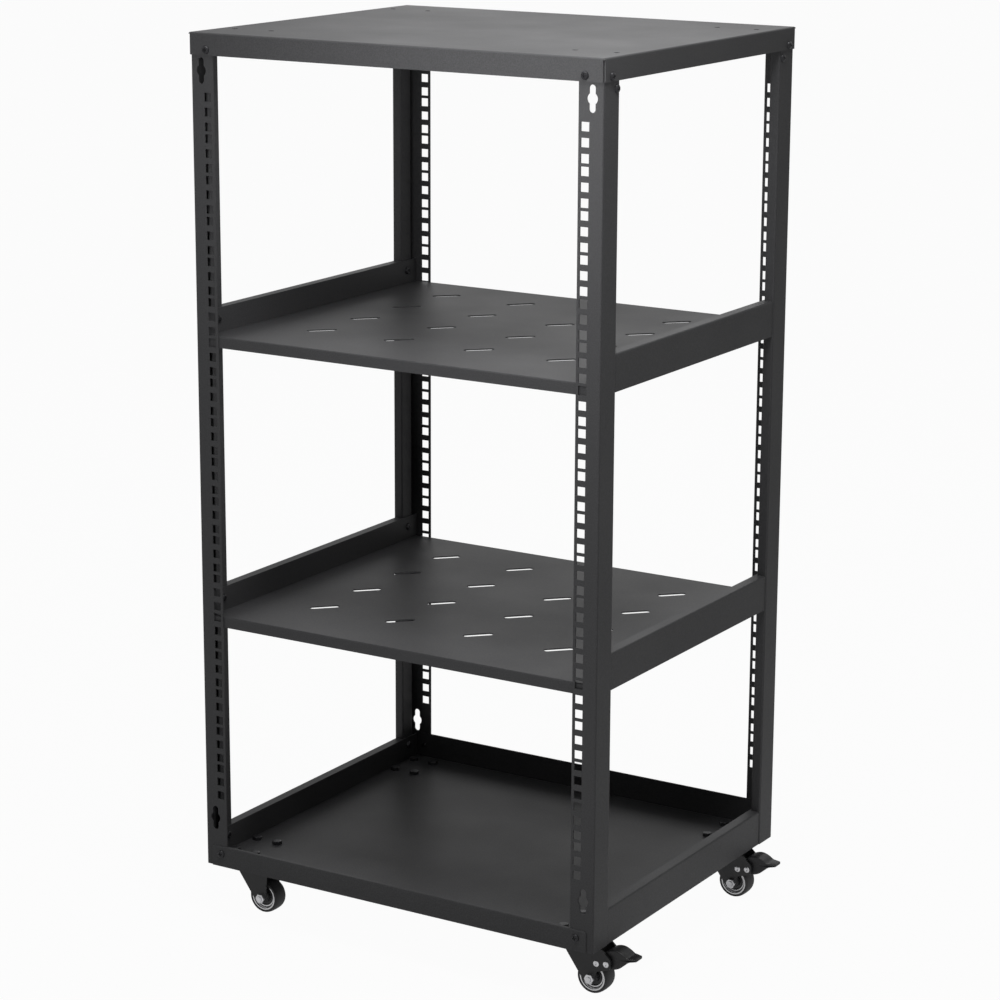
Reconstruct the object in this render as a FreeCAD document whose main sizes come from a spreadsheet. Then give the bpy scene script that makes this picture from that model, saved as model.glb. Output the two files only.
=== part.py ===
# Open-frame rolling rack for audio equipment: four folded and perforated posts, a folded lid,
# two slotted shelves, a bottom tray and four swivel casters, two of them with brakes.
# Millimetres. The origin is on the floor under the middle of the frame, +Z is up and -Y is the front.
import FreeCAD, Part
import Sketcher
import math
import os
import re

Vector = FreeCAD.Vector
Placement = FreeCAD.Placement
Rotation = FreeCAD.Rotation

# Driving dimensions: name, value and what it measures.
SIZES = (
    ("frame_width", 507.0, "outer width over the posts"),
    ("frame_depth", 420.0, "outer depth over the posts"),
    ("sheet_thickness", 1.5, "thickness of all folded sheet"),
    ("bend_radius", 2.0, "outer radius of a fold"),
    ("fit_gap", 0.5, "gap between neighbouring sheets that don't touch"),
    ("rack_units", 18, "rack units on a post"),
    ("unit_height", 44.45, "height of one rack unit"),
    ("hole_pitch", 15.875, "pitch of the holes within a unit"),
    ("hole_side", 9.5, "side of a square rack hole"),
    ("hole_inset", 20.95, "front rack hole columns from the frame's sides"),
    ("rear_hole_inset", 25.5, "rear rack hole columns from the frame's sides"),
    ("top_margin", 67.0, "post's upper end to the nearest rack hole"),
    ("foot_margin", 85.0, "post's foot to the nearest rack hole"),
    ("flange_width", 28.5, "width of a front post's perforated flange"),
    ("rear_flange_width", 33.0, "width of a rear post's perforated flange"),
    ("side_depth", 32.0, "depth of a post's side"),
    ("lip_width", 12.0, "width of the lip that closes a post's inner end"),
    ("return_depth", 20.0, "depth of the return behind the lip"),
    ("keyhole_reach", 28.0, "keyhole centre beyond the last rack hole"),
    ("keyhole_inset", 13.0, "keyhole centre from the post's outer side"),
    ("keyhole_length", 28.0, "length of the keyhole's slot"),
    ("keyhole_slot", 7.5, "width of the keyhole's slot"),
    ("keyhole_eye", 12.5, "diameter of the keyhole's eye"),
    ("tray_clearance", 62.0, "lower edges of the tray and the posts above the floor"),
    ("lid_skirt", 24.0, "height of the lid's skirt"),
    ("lid_front_screw_drop", 18.0, "front and rear lid screws below the lid's top"),
    ("lid_side_screw_drop", 19.0, "side lid screws below the lid's top"),
    ("lid_side_screw_inset", 14.0, "side lid screws from the end of the frame"),
    ("post_screw_drop", 32.0, "post side screws below the lid's top"),
    ("post_screw_inset", 26.0, "post side screws from the end of the frame"),
    ("lid_hole", 6.4, "diameter of the fixing holes in the lid's top"),
    ("lid_hole_inset", 17.5, "outer fixing hole from the frame's side"),
    ("lid_hole_pitch", 48.0, "spacing of a pair of fixing holes"),
    ("lid_hole_end_inset", 56.0, "fixing holes from the frame's end"),
    ("upper_shelf_height", 675.0, "top of the upper shelf's plate above the floor"),
    ("lower_shelf_height", 358.0, "top of the lower shelf's plate above the floor"),
    ("rim_inset", 1.0, "rim's outer skirt behind the posts' sides"),
    ("shelf_rim", 40.0, "height of the shelf's rim"),
    ("shelf_plate_rise", 12.5, "top of the shelf's plate above the rim's lower edge"),
    ("shelf_screw_rise", 15.0, "shelf screws above the plate"),
    ("wall_screw_inset", 22.0, "wall screws from the end of the frame"),
    ("slot_length", 34.0, "length of a vent slot"),
    ("slot_width", 9.0, "width of a vent slot"),
    ("slot_angle", 45.0, "turn of a vent slot from the frame's width"),
    ("slot_columns", 4, "vent slots across the shelf"),
    ("slot_rows", 4, "vent slots along the shelf"),
    ("slot_column_pitch", 102.0, "spacing of the vent slots across the shelf"),
    ("slot_row_pitch", 85.0, "spacing of the vent slots along the shelf"),
    ("slot_shift", 12.0, "vent slots behind the middle of the shelf"),
    ("tray_rim", 40.0, "height of the tray's rim"),
    ("tray_floor_rise", 12.0, "top of the tray's floor above its lower edge"),
    ("back_height", 42.0, "top of the tray's back above its lower edge"),
    ("back_screw_rise", 27.0, "screws of the tray's back above its lower edge"),
    ("tray_screw_rise", 18.0, "tray wall screws above its floor"),
    ("apron_height", 24.0, "top of the tray's apron above its lower edge"),
    ("apron_inset", 8.0, "end of the tray's apron from the frame's side"),
    ("apron_corner", 4.0, "radius of the apron's upper corners"),
    ("apron_screw_rise", 15.0, "apron screws above the tray's lower edge"),
    ("screw_diameter", 4.8, "diameter of a pan-head screw"),
    ("screw_length", 7.0, "length of a pan-head screw under its head"),
    ("screw_head", 9.0, "diameter of a screw's head"),
    ("screw_head_height", 2.6, "height of a screw's head"),
    ("screw_head_bevel", 1.2, "bevel of a screw's head"),
    ("hole_clearance", 0.1, "radial clearance of a fastener in its hole"),
    ("bolt_diameter", 5.8, "diameter of a caster bolt"),
    ("bolt_head", 10.0, "width over the flats of a bolt's head or nut"),
    ("bolt_head_height", 4.0, "height of a bolt's head or nut"),
    ("bolt_tail", 0.6, "bolt's end below its nut"),
    ("caster_side_inset", 36.5, "swivel axis from the frame's side"),
    ("caster_end_inset", 45.0, "swivel axis from the frame's end"),
    ("caster_trail", 15.5, "axle beside the swivel axis"),
    ("wheel_diameter", 38.0, "diameter of a wheel"),
    ("wheel_width", 20.0, "width of a tyre"),
    ("tyre_depth", 3.2, "depth of a tyre's tread"),
    ("tyre_bevel", 1.6, "bevel of a tyre's edges"),
    ("rim_width", 18.0, "width of a wheel's rim"),
    ("rim_depth", 3.0, "depth of a wheel's rim"),
    ("web_width", 8.0, "width of a wheel's web"),
    ("hub_diameter", 13.0, "diameter of a wheel's hub"),
    ("hub_width", 20.6, "width of a wheel's hub"),
    ("axle_diameter", 6.0, "diameter of an axle"),
    ("axle_tail", 1.5, "axle's end beyond its nut"),
    ("running_gap", 0.05, "radial clearance of a turning fit"),
    ("plate_length", 58.0, "caster plate along the frame's depth"),
    ("plate_width", 44.0, "caster plate across the frame"),
    ("plate_thickness", 2.5, "thickness of a caster plate"),
    ("plate_corner", 5.0, "corner radius of a caster plate"),
    ("bolt_pitch_across", 28.0, "caster bolts across the frame"),
    ("bolt_pitch_along", 42.0, "caster bolts along the frame's depth"),
    ("race_diameter", 30.0, "outer diameter of a swivel race"),
    ("race_bore", 18.0, "inner diameter of a swivel race"),
    ("race_height", 5.0, "height of a swivel race"),
    ("swivel_gap", 0.3, "gap above and below a fork's crown"),
    ("kingpin_diameter", 8.0, "diameter of a kingpin"),
    ("kingpin_head", 14.0, "diameter of a kingpin's head"),
    ("kingpin_head_height", 2.4, "height of a kingpin's head"),
    ("kingpin_bevel", 1.2, "bevel of a kingpin's head"),
    ("crown_diameter", 35.0, "diameter of a fork's crown"),
    ("fork_thickness", 2.4, "thickness of a fork's sheet"),
    ("fork_gap", 1.0, "gap between a tyre and a fork's arm"),
    ("arm_width", 34.0, "width of a fork's arm under its crown"),
    ("arm_shoulder", 16.0, "depth of a fork's full-width shoulder"),
    ("arm_end", 13.0, "width of a fork's arm at the axle"),
    ("arm_round", 18.0, "rounding of a fork's leading edge"),
    ("brake_reach", 19.0, "brake pivot beside the axle"),
    ("brake_rise", 20.0, "brake pivot above the axle"),
    ("brake_pin", 4.4, "diameter of a brake's pivot pin"),
    ("rivet_reach", 7.0, "brake rivet beside the axle"),
    ("rivet_rise", 18.5, "brake rivet above the axle"),
    ("rivet_head", 7.0, "diameter of a rivet's head"),
    ("rivet_head_height", 1.3, "height of a rivet's head"),
    ("rivet_bevel", 1.0, "bevel of a rivet's head"),
    ("lobe_margin", 5.5, "fork's lobe round the brake pivot"),
    ("pedal_width", 20.0, "width of a brake pedal"),
    ("pedal_reach", 34.0, "pedal's tip beyond its pivot"),
    ("pedal_rise", 12.5, "pedal's tip above its pivot"),
    ("pedal_hump", 17.0, "pedal's highest point above its pivot"),
    ("pedal_tip", 3.2, "thickness of a pedal's tip"),
    ("pedal_nose", 7.6, "brake nose below the pedal's pivot"),
)

doc = FreeCAD.newDocument("equipment_rack")
sheet = doc.addObject("Spreadsheet::Sheet", "Sizes")
for row, (alias, number, note) in enumerate(SIZES, start=1):
    sheet.set(f"A{row}", note)
    sheet.set(f"B{row}", str(number))
    sheet.setAlias(f"B{row}", alias)
doc.recompute()

ALIASES = {alias for alias, number, note in SIZES}

# Lengths that follow from the driving dimensions.
HOLES_LENGTH = "((rack_units - 1) * unit_height + 2 * hole_pitch)"
POST_LENGTH = f"({HOLES_LENGTH} + top_margin + foot_margin)"
POST_FOOT = "tray_clearance"
LID_TOP = f"({POST_FOOT} + {POST_LENGTH} + sheet_thickness)"
SCREW_HOLE = "(screw_diameter + 2 * hole_clearance)"
BOLT_HOLE = "(bolt_diameter + 2 * hole_clearance)"
MOUNT_HEIGHT = "(tray_clearance + tray_floor_rise - sheet_thickness)"
AXLE_DROP = f"({MOUNT_HEIGHT} - wheel_diameter / 2)"
CASTER_X = "(frame_width / 2 - caster_side_inset)"
CASTER_Y = "(frame_depth / 2 - caster_end_inset)"
CROWN_TOP = "(plate_thickness + race_height + swivel_gap)"
FORK_INSIDE = "(wheel_width + 2 * fork_gap)"
FORK_OUTSIDE = f"({FORK_INSIDE} + 2 * fork_thickness)"
PIVOT_X = "(caster_trail + brake_reach)"
PIVOT_DROP = f"({AXLE_DROP} - brake_rise)"


def formula(text):
    """The same text with each size named as a cell of the sheet."""
    return re.sub(r"[a-z_]+", lambda word: f"Sizes.{word[0]}" if word[0] in ALIASES else word[0], text)


def value(text):
    """The length that a formula gives now."""
    return float(sheet.evalExpression(formula(text)))


def bind(item, field, text):
    item.setExpression(field, formula(text))


def new_body(label):
    return doc.addObject("PartDesign::Body", label)


def origin_feature(body, role):
    return next(item for item in body.Origin.OriginFeatures if item.Role == role)


def place(body, x, y, z, turn=0.0):
    """Stand a body at a point given by formulas, turned about the vertical by a number of degrees."""
    body.Placement = Placement(Vector(), Rotation(Vector(0, 0, 1), turn))
    for axis, text in zip("xyz", (x, y, z)):
        bind(body, f"Placement.Base.{axis}", text)


def new_sketch(body, plane, offset="0"):
    """An empty sketch on one of the body's origin planes, moved along that plane's normal."""
    sketch = body.newObject("Sketcher::SketchObject", "outline")
    sketch.AttachmentSupport = [(origin_feature(body, plane), "")]
    sketch.MapMode = "FlatFace"
    bind(sketch, "AttachmentOffset.Base.z", offset)
    return sketch


def pin_point(sketch, geometry, point, x, y):
    """Tie a point of the sketch to coordinates given by formulas."""
    for kind, axis, text in (("DistanceX", -2, x), ("DistanceY", -1, y)):
        if text == "0":
            sketch.addConstraint(Sketcher.Constraint("PointOnObject", geometry, point, axis))
            continue
        index = sketch.addConstraint(Sketcher.Constraint(kind, -1, 1, geometry, point, value(text)))
        bind(sketch, f"Constraints[{index}]", text)


def add_polygon(sketch, points):
    """A closed outline of straight lines through points given by formulas."""
    first = sketch.GeometryCount
    corners = [Vector(value(x), value(y), 0) for x, y in points]
    count = len(corners)
    for step, (x, y) in enumerate(points):
        line = Part.LineSegment(corners[step], corners[(step + 1) % count])
        sketch.addGeometry(line, False)
    for step, (x, y) in enumerate(points):
        after = first + (step + 1) % count
        sketch.addConstraint(Sketcher.Constraint("Coincident", first + step, 2, after, 1))
        pin_point(sketch, first + step, 1, x, y)


def add_rectangle(sketch, left, low, right, high):
    add_polygon(sketch, ((left, low), (right, low), (right, high), (left, high)))


def add_circle(sketch, x, y, diameter):
    centre = Vector(value(x), value(y), 0)
    index = sketch.addGeometry(Part.Circle(centre, Vector(0, 0, 1), value(diameter) / 2), False)
    pin_point(sketch, index, 3, x, y)
    size = sketch.addConstraint(Sketcher.Constraint("Diameter", index, value(diameter)))
    bind(sketch, f"Constraints[{size}]", diameter)


def add_slot(sketch, length, width, upright=False):
    """A round-ended slot from the sketch's origin, along its first axis or upright."""
    run = value(f"{length} - {width}")
    half = value(width) / 2
    along = Vector(0, 1, 0) if upright else Vector(1, 0, 0)
    across = Vector(-along.y, along.x, 0)
    start = math.atan2(across.y, across.x)
    far = along * run
    normal = Vector(0, 0, 1)
    near_circle = Part.Circle(Vector(), normal, half)
    far_circle = Part.Circle(far, normal, half)
    near_end = sketch.addGeometry(Part.ArcOfCircle(near_circle, start, start + math.pi))
    far_end = sketch.addGeometry(Part.ArcOfCircle(far_circle, start - math.pi, start))
    side = sketch.addGeometry(Part.LineSegment(across * half, far + across * half))
    other = sketch.addGeometry(Part.LineSegment(across * -half, far - across * half))
    for line, near_point, far_point in ((side, 1, 2), (other, 2, 1)):
        sketch.addConstraint(Sketcher.Constraint("Tangent", near_end, near_point, line, 1))
        sketch.addConstraint(Sketcher.Constraint("Tangent", far_end, far_point, line, 2))
    sketch.addConstraint(Sketcher.Constraint("Equal", near_end, far_end))
    sketch.addConstraint(Sketcher.Constraint("Coincident", near_end, 3, -1, 1))
    sketch.addConstraint(Sketcher.Constraint("PointOnObject", far_end, 3, -2 if upright else -1))
    kind = "DistanceY" if upright else "DistanceX"
    index = sketch.addConstraint(Sketcher.Constraint(kind, -1, 1, far_end, 3, run))
    bind(sketch, f"Constraints[{index}]", f"{length} - {width}")
    index = sketch.addConstraint(Sketcher.Constraint("Radius", near_end, half))
    bind(sketch, f"Constraints[{index}]", f"{width} / 2")


def pad(body, sketch, length, back=False, middle=False):
    feature = body.newObject("PartDesign::Pad", "plate")
    feature.Profile = sketch
    bind(feature, "Length", length)
    feature.Reversed = back
    feature.Midplane = middle
    return feature


def cut(body, sketch, depth=None, back=False, middle=False):
    """Cut a sketch against its plane's normal, or along it with back set, to a depth or right through."""
    feature = body.newObject("PartDesign::Pocket", "opening")
    feature.Profile = sketch
    if depth is None:
        feature.Type = "ThroughAll"
    else:
        bind(feature, "Length", depth)
    feature.Reversed = back
    feature.Midplane = middle
    return feature


def repeat(body, features, axis, length, count, second=None):
    """Repeat cuts along one axis, or over a grid along two."""
    pattern = body.newObject("PartDesign::LinearPattern", "repeat")
    pattern.Originals = features
    pattern.Direction = (origin_feature(body, axis), [""])
    bind(pattern, "Length", length)
    bind(pattern, "Occurrences", count)
    if second:
        axis, length, count = second
        pattern.Direction2 = (origin_feature(body, axis), [""])
        bind(pattern, "Length2", length)
        bind(pattern, "Occurrences2", count)
    body.Tip = pattern
    return pattern


def revolve(body, plane, axis, points):
    sketch = new_sketch(body, plane)
    add_polygon(sketch, points)
    feature = body.newObject("PartDesign::Revolution", "turned")
    feature.Profile = sketch
    feature.ReferenceAxis = (origin_feature(body, axis), [""])
    feature.Angle = 360
    return feature


def round_edges(body, feature, radius, wanted):
    """Round the edges of a feature whose middle point passes a test."""
    doc.recompute()
    names = []
    for number, edge in enumerate(feature.Shape.Edges, start=1):
        middle = edge.valueAt((edge.FirstParameter + edge.LastParameter) / 2)
        if wanted(edge, middle):
            names.append(f"Edge{number}")
    fillet = body.newObject("PartDesign::Fillet", "rounding")
    fillet.Base = (feature, names)
    bind(fillet, "Radius", radius)
    return fillet


def near(first, second):
    return abs(first - second) < 0.001


def stands_at(places):
    """A test for upright edges at any of some points seen from above."""
    def test(edge, middle):
        tall = abs(edge.BoundBox.ZLength) > edge.BoundBox.XLength + edge.BoundBox.YLength
        return tall and any(near(middle.x, x) and near(middle.y, y) for x, y in places)
    return test


def lies_at(axis, lines):
    """A test for edges along X (axis 0) or Y (axis 1) through points of the other two axes."""
    others = [index for index in range(3) if index != axis]

    def test(edge, middle):
        lengths = (edge.BoundBox.XLength, edge.BoundBox.YLength, edge.BoundBox.ZLength)
        if lengths[axis] < lengths[others[0]] + lengths[others[1]]:
            return False
        return any(all(near(middle[index], place) for index, place in zip(others, line)) for line in lines)
    return test


# Posts

def make_post(label, mirrored, front):
    """A post in its own corner frame: across is inward from the side, deep is inward from the rail face.
    A mirrored post has the two axes exchanged, and is stood up with a quarter turn. The rail face also
    takes a screw of the tray's apron in front and of the tray's back at the rear."""
    body = new_body(label)

    def corner(across, deep):
        return (deep, across) if mirrored else (across, deep)

    rail_plane, side_plane = ("YZ_Plane", "XZ_Plane") if mirrored else ("XZ_Plane", "YZ_Plane")
    flange, column = ("flange_width", "hole_inset") if front else ("rear_flange_width", "rear_hole_inset")
    section = new_sketch(body, "XY_Plane")
    inner_deep = "side_depth - return_depth"
    add_polygon(section, [corner(across, deep) for across, deep in (
        (flange, "0"),
        ("0", "0"),
        ("0", "side_depth"),
        ("lip_width", "side_depth"),
        ("lip_width", inner_deep),
        ("lip_width - sheet_thickness", inner_deep),
        ("lip_width - sheet_thickness", "side_depth - sheet_thickness"),
        ("sheet_thickness", "side_depth - sheet_thickness"),
        ("sheet_thickness", "sheet_thickness"),
        (flange, "sheet_thickness"),
    )])
    folded = pad(body, section, POST_LENGTH)

    wall, side, lip = value("sheet_thickness"), value("side_depth"), value("lip_width")
    outer = [corner(0, 0), corner(0, side), corner(lip, side)]
    inner = [corner(wall, wall), corner(wall, side - wall), corner(lip - wall, side - wall)]
    folded = round_edges(body, folded, "bend_radius", stands_at(outer))
    round_edges(body, folded, "bend_radius - sheet_thickness", stands_at(inner))

    # Three square holes to a rack unit
    squares = new_sketch(body, rail_plane)
    for step in range(3):
        low = f"foot_margin + {step} * hole_pitch - hole_side / 2"
        left = f"{column} - hole_side / 2"
        add_rectangle(squares, left, low, f"{left} + hole_side", f"{low} + hole_side")
    unit_holes = cut(body, squares, "2 * sheet_thickness", back=mirrored)
    repeat(body, [unit_holes], "Z_Axis", "(rack_units - 1) * unit_height", "rack_units")

    # A keyhole near each end: a round-ended slot with an eye in its middle
    slot = new_sketch(body, rail_plane)
    add_slot(slot, "keyhole_length", "keyhole_slot", upright=True)
    bind(slot, "AttachmentOffset.Base.x", "keyhole_inset")
    bind(slot, "AttachmentOffset.Base.y", "foot_margin - keyhole_reach - (keyhole_length - keyhole_slot) / 2")
    slot_cut = cut(body, slot, "2 * sheet_thickness", back=mirrored)
    eye = new_sketch(body, rail_plane)
    add_circle(eye, "keyhole_inset", "foot_margin - keyhole_reach", "keyhole_eye")
    eye_cut = cut(body, eye, "2 * sheet_thickness", back=mirrored)
    repeat(body, [slot_cut, eye_cut], "Z_Axis", f"{HOLES_LENGTH} + 2 * keyhole_reach", "2")

    # Screw holes: lid and tray through the rail face, lid through the side, pans in the return
    rail_holes = new_sketch(body, rail_plane)
    add_circle(rail_holes, "hole_inset", f"{LID_TOP} - lid_front_screw_drop - {POST_FOOT}", SCREW_HOLE)
    add_circle(rail_holes, column, "apron_screw_rise" if front else "back_screw_rise", SCREW_HOLE)
    cut(body, rail_holes, "2 * sheet_thickness", back=mirrored)
    side_holes = new_sketch(body, side_plane)
    for screw in ("lid_side_screw", "post_screw"):
        add_circle(side_holes, f"{screw}_inset", f"{LID_TOP} - {screw}_drop - {POST_FOOT}", SCREW_HOLE)
    cut(body, side_holes, "2 * sheet_thickness", back=not mirrored)
    return_holes = new_sketch(body, side_plane, "-lip_width" if mirrored else "lip_width")
    for height in (
        "upper_shelf_height + shelf_screw_rise",
        "lower_shelf_height + shelf_screw_rise",
        "tray_clearance + tray_floor_rise + tray_screw_rise",
    ):
        add_circle(return_holes, "wall_screw_inset", f"{height} - {POST_FOOT}", SCREW_HOLE)
    cut(body, return_holes, "2 * sheet_thickness", back=mirrored)
    return body


POSTS = (
    ("front_left_post", "-1", "-1", 0),
    ("front_right_post", "1", "-1", 90),
    ("rear_right_post", "1", "1", 180),
    ("rear_left_post", "-1", "1", 270),
)


# Lid

def make_lid():
    body = new_body("top_panel")
    width = "(frame_width + 2 * sheet_thickness)"
    depth = "(frame_depth + 2 * sheet_thickness)"
    outside = new_sketch(body, "XY_Plane")
    add_rectangle(outside, "0", "0", width, depth)
    block = pad(body, outside, "lid_skirt")
    top = value("lid_skirt")
    along_x = lies_at(0, [(0, top), (value(depth), top)])
    along_y = lies_at(1, [(0, top), (value(width), top)])
    top_edges = lambda edge, middle: along_x(edge, middle) or along_y(edge, middle)
    round_edges(body, block, "bend_radius", top_edges)
    inside = new_sketch(body, "XY_Plane")
    wall = "sheet_thickness"
    add_rectangle(inside, wall, wall, f"{width} - {wall}", f"{depth} - {wall}")
    cut(body, inside, "lid_skirt - sheet_thickness", back=True)

    # The skirts part at the corners
    notches = new_sketch(body, "XY_Plane")
    notch = "(sheet_thickness + fit_gap)"
    for left in ("0", f"{width} - {notch}"):
        for low in ("0", f"{depth} - {notch}"):
            add_rectangle(notches, left, low, f"{left} + {notch}", f"{low} + {notch}")
    cut(body, notches, "lid_skirt - bend_radius", back=True)

    screws = new_sketch(body, "XZ_Plane")
    for across in ("sheet_thickness + hole_inset", f"{width} - sheet_thickness - hole_inset"):
        add_circle(screws, across, "lid_skirt - lid_front_screw_drop", SCREW_HOLE)
    cut(body, screws)
    side_screws = new_sketch(body, "YZ_Plane")
    near_screw = "(sheet_thickness + lid_side_screw_inset)"
    for along in (near_screw, f"{depth} - {near_screw}"):
        add_circle(side_screws, along, "lid_skirt - lid_side_screw_drop", SCREW_HOLE)
    cut(body, side_screws, back=True)

    # A pair of fixing holes at each corner of the top
    fixings = new_sketch(body, "XY_Plane")
    near_end = "(sheet_thickness + lid_hole_end_inset)"
    for pitches in (0, 1):
        near_side = f"(sheet_thickness + lid_hole_inset + {pitches} * lid_hole_pitch)"
        for across in (near_side, f"{width} - {near_side}"):
            for along in (near_end, f"{depth} - {near_end}"):
                add_circle(fixings, across, along, "lid_hole")
    cut(body, fixings, back=True)
    place(body, f"-{width} / 2", f"-{depth} / 2", f"{LID_TOP} - lid_skirt")
    return body


# Shelves and tray

def add_pan(body, rise, height):
    """A plate with an upright wall at each side, between the posts' returns, and outside each wall a rim
    that goes out and down again between the posts."""
    wall_out = "lip_width"
    wall_in = "(lip_width + sheet_thickness)"
    under = f"({rise} - sheet_thickness)"
    section = new_sketch(body, "XZ_Plane", "-(sheet_thickness + fit_gap)")
    add_polygon(section, (
        (wall_out, under),
        (f"frame_width - {wall_out}", under),
        (f"frame_width - {wall_out}", height),
        (f"frame_width - {wall_in}", height),
        (f"frame_width - {wall_in}", rise),
        (wall_in, rise),
        (wall_in, height),
        (wall_out, height),
    ))
    pad(body, section, "frame_depth - 2 * (sheet_thickness + fit_gap)", back=True)

    rims = new_sketch(body, "XZ_Plane", "-(side_depth + fit_gap)")
    skirt_in = "(rim_inset + sheet_thickness)"
    under_rim = f"{height} - sheet_thickness"
    profile = (
        ("rim_inset", "0"),
        (skirt_in, "0"),
        (skirt_in, under_rim),
        (wall_out, under_rim),
        (wall_out, height),
        ("rim_inset", height),
    )
    add_polygon(rims, profile)
    add_polygon(rims, [(f"frame_width - {across}", up) for across, up in profile])
    rim = pad(body, rims, "frame_depth - 2 * (side_depth + fit_gap)", back=True)

    top = value(height)
    outer_edges = lies_at(1, [(value("rim_inset"), top), (value("frame_width - rim_inset"), top)])
    round_edges(body, rim, "bend_radius", outer_edges)


def add_wall_screw_holes(body, height):
    """Holes through both walls near each end, in line with those in the posts' returns."""
    holes = new_sketch(body, "YZ_Plane")
    for along in ("wall_screw_inset", "frame_depth - wall_screw_inset"):
        add_circle(holes, along, height, SCREW_HOLE)
    cut(body, holes, back=True)


def make_shelf(label, height):
    body = new_body(label)
    add_pan(body, "shelf_plate_rise", "shelf_rim")
    # The plate's front and rear edges are turned down
    ends = ("(sheet_thickness + fit_gap)", "(frame_depth - sheet_thickness - fit_gap)")
    middle_of_plate = "shelf_plate_rise - sheet_thickness / 2"
    for end in ends:
        lip = new_sketch(body, "XZ_Plane", f"-{end}")
        add_rectangle(lip, "lip_width", "0", "frame_width - lip_width", middle_of_plate)
        turned = pad(body, lip, "sheet_thickness", back=end == ends[0])
    top = value("shelf_plate_rise")
    round_edges(body, turned, "bend_radius - fit_gap", lies_at(0, [(value(end), top) for end in ends]))

    slot = new_sketch(body, "XY_Plane", "shelf_plate_rise")
    add_slot(slot, "slot_length", "slot_width")
    turn = value("slot_angle")
    slot.AttachmentOffset = Placement(Vector(), Rotation(Vector(0, 0, 1), turn))
    run = f"(slot_length - slot_width) / 2 * {{}}(slot_angle * 1 deg)"
    first_x = "frame_width / 2 - (slot_columns - 1) / 2 * slot_column_pitch"
    first_y = "frame_depth / 2 + slot_shift - (slot_rows - 1) / 2 * slot_row_pitch"
    bind(slot, "AttachmentOffset.Base.x", f"{first_x} - {run.format('cos')}")
    bind(slot, "AttachmentOffset.Base.y", f"{first_y} - {run.format('sin')}")
    bind(slot, "AttachmentOffset.Base.z", "shelf_plate_rise")
    bind(slot, "AttachmentOffset.Rotation.Angle", "slot_angle * 1 deg")
    vent = cut(body, slot, "2 * sheet_thickness")
    across = ("X_Axis", "(slot_columns - 1) * slot_column_pitch", "slot_columns")
    along = ("Y_Axis", "(slot_rows - 1) * slot_row_pitch", "slot_rows")
    repeat(body, [vent], *across, second=along)
    add_wall_screw_holes(body, "shelf_plate_rise + shelf_screw_rise")
    place(body, "-frame_width / 2", "-frame_depth / 2", f"{height} - shelf_plate_rise")
    return body


def make_tray():
    body = new_body("bottom_tray")
    add_pan(body, "tray_floor_rise", "tray_rim")
    add_wall_screw_holes(body, "tray_floor_rise + tray_screw_rise")
    bolts = new_sketch(body, "XY_Plane", "tray_floor_rise")
    for across in ("caster_side_inset", "frame_width - caster_side_inset"):
        for along in ("caster_end_inset", "frame_depth - caster_end_inset"):
            for side in ("-", "+"):
                for end in ("-", "+"):
                    x = f"{across} {side} bolt_pitch_across / 2"
                    y = f"{along} {end} bolt_pitch_along / 2"
                    add_circle(bolts, x, y, BOLT_HOLE)
    cut(body, bolts, "2 * sheet_thickness")
    place(body, "-frame_width / 2", "-frame_depth / 2", "tray_clearance")
    return body


def make_apron():
    """The tray's front: a lip that stands on the floor behind the posts, is turned forward between them
    and down again over their feet."""
    body = new_body("tray_apron")
    clear = "(flange_width + fit_gap)"
    lip = new_sketch(body, "XZ_Plane", "-(sheet_thickness + fit_gap)")
    add_rectangle(lip, clear, "tray_floor_rise", f"frame_width - {clear}", "apron_height")
    pad(body, lip, "sheet_thickness", back=True)
    neck = new_sketch(body, "XZ_Plane", "-(sheet_thickness + fit_gap)")
    add_rectangle(neck, clear, "apron_height - sheet_thickness", f"frame_width - {clear}", "apron_height")
    pad(body, neck, "sheet_thickness + fit_gap")
    apron = new_sketch(body, "XZ_Plane")
    add_rectangle(apron, "apron_inset", "0", "frame_width - apron_inset", "apron_height")
    turned = pad(body, apron, "sheet_thickness")
    top = value("apron_height")
    folds = [(-value("sheet_thickness"), top), (value("2 * sheet_thickness + fit_gap"), top)]
    ends = (value("apron_inset"), value("frame_width - apron_inset"))
    corners = lies_at(1, [(end, top) for end in ends])
    rounded = round_edges(body, turned, "apron_corner", corners)
    round_edges(body, rounded, "sheet_thickness * 0.8", lies_at(0, folds))

    screws = new_sketch(body, "XZ_Plane", "sheet_thickness")
    for across in ("hole_inset", "frame_width - hole_inset"):
        add_circle(screws, across, "apron_screw_rise", SCREW_HOLE)
    cut(body, screws, "sheet_thickness + fit_gap")
    place(body, "-frame_width / 2", "-frame_depth / 2", "tray_clearance")
    return body


def make_back():
    """The tray's back: a strip that stands on the floor in front of the rear posts."""
    body = new_body("tray_back")
    inner_face = "-(frame_depth - 2 * sheet_thickness - fit_gap)"
    end = "(lip_width + sheet_thickness + fit_gap)"
    strip = new_sketch(body, "XZ_Plane", inner_face)
    add_rectangle(strip, end, "tray_floor_rise", f"frame_width - {end}", "back_height")
    pad(body, strip, "sheet_thickness", back=True)
    screws = new_sketch(body, "XZ_Plane", inner_face)
    for across in ("rear_hole_inset", "frame_width - rear_hole_inset"):
        add_circle(screws, across, "back_screw_rise", SCREW_HOLE)
    cut(body, screws, "2 * sheet_thickness")
    place(body, "-frame_width / 2", "-frame_depth / 2", "tray_clearance")
    return body


# Fasteners

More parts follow.
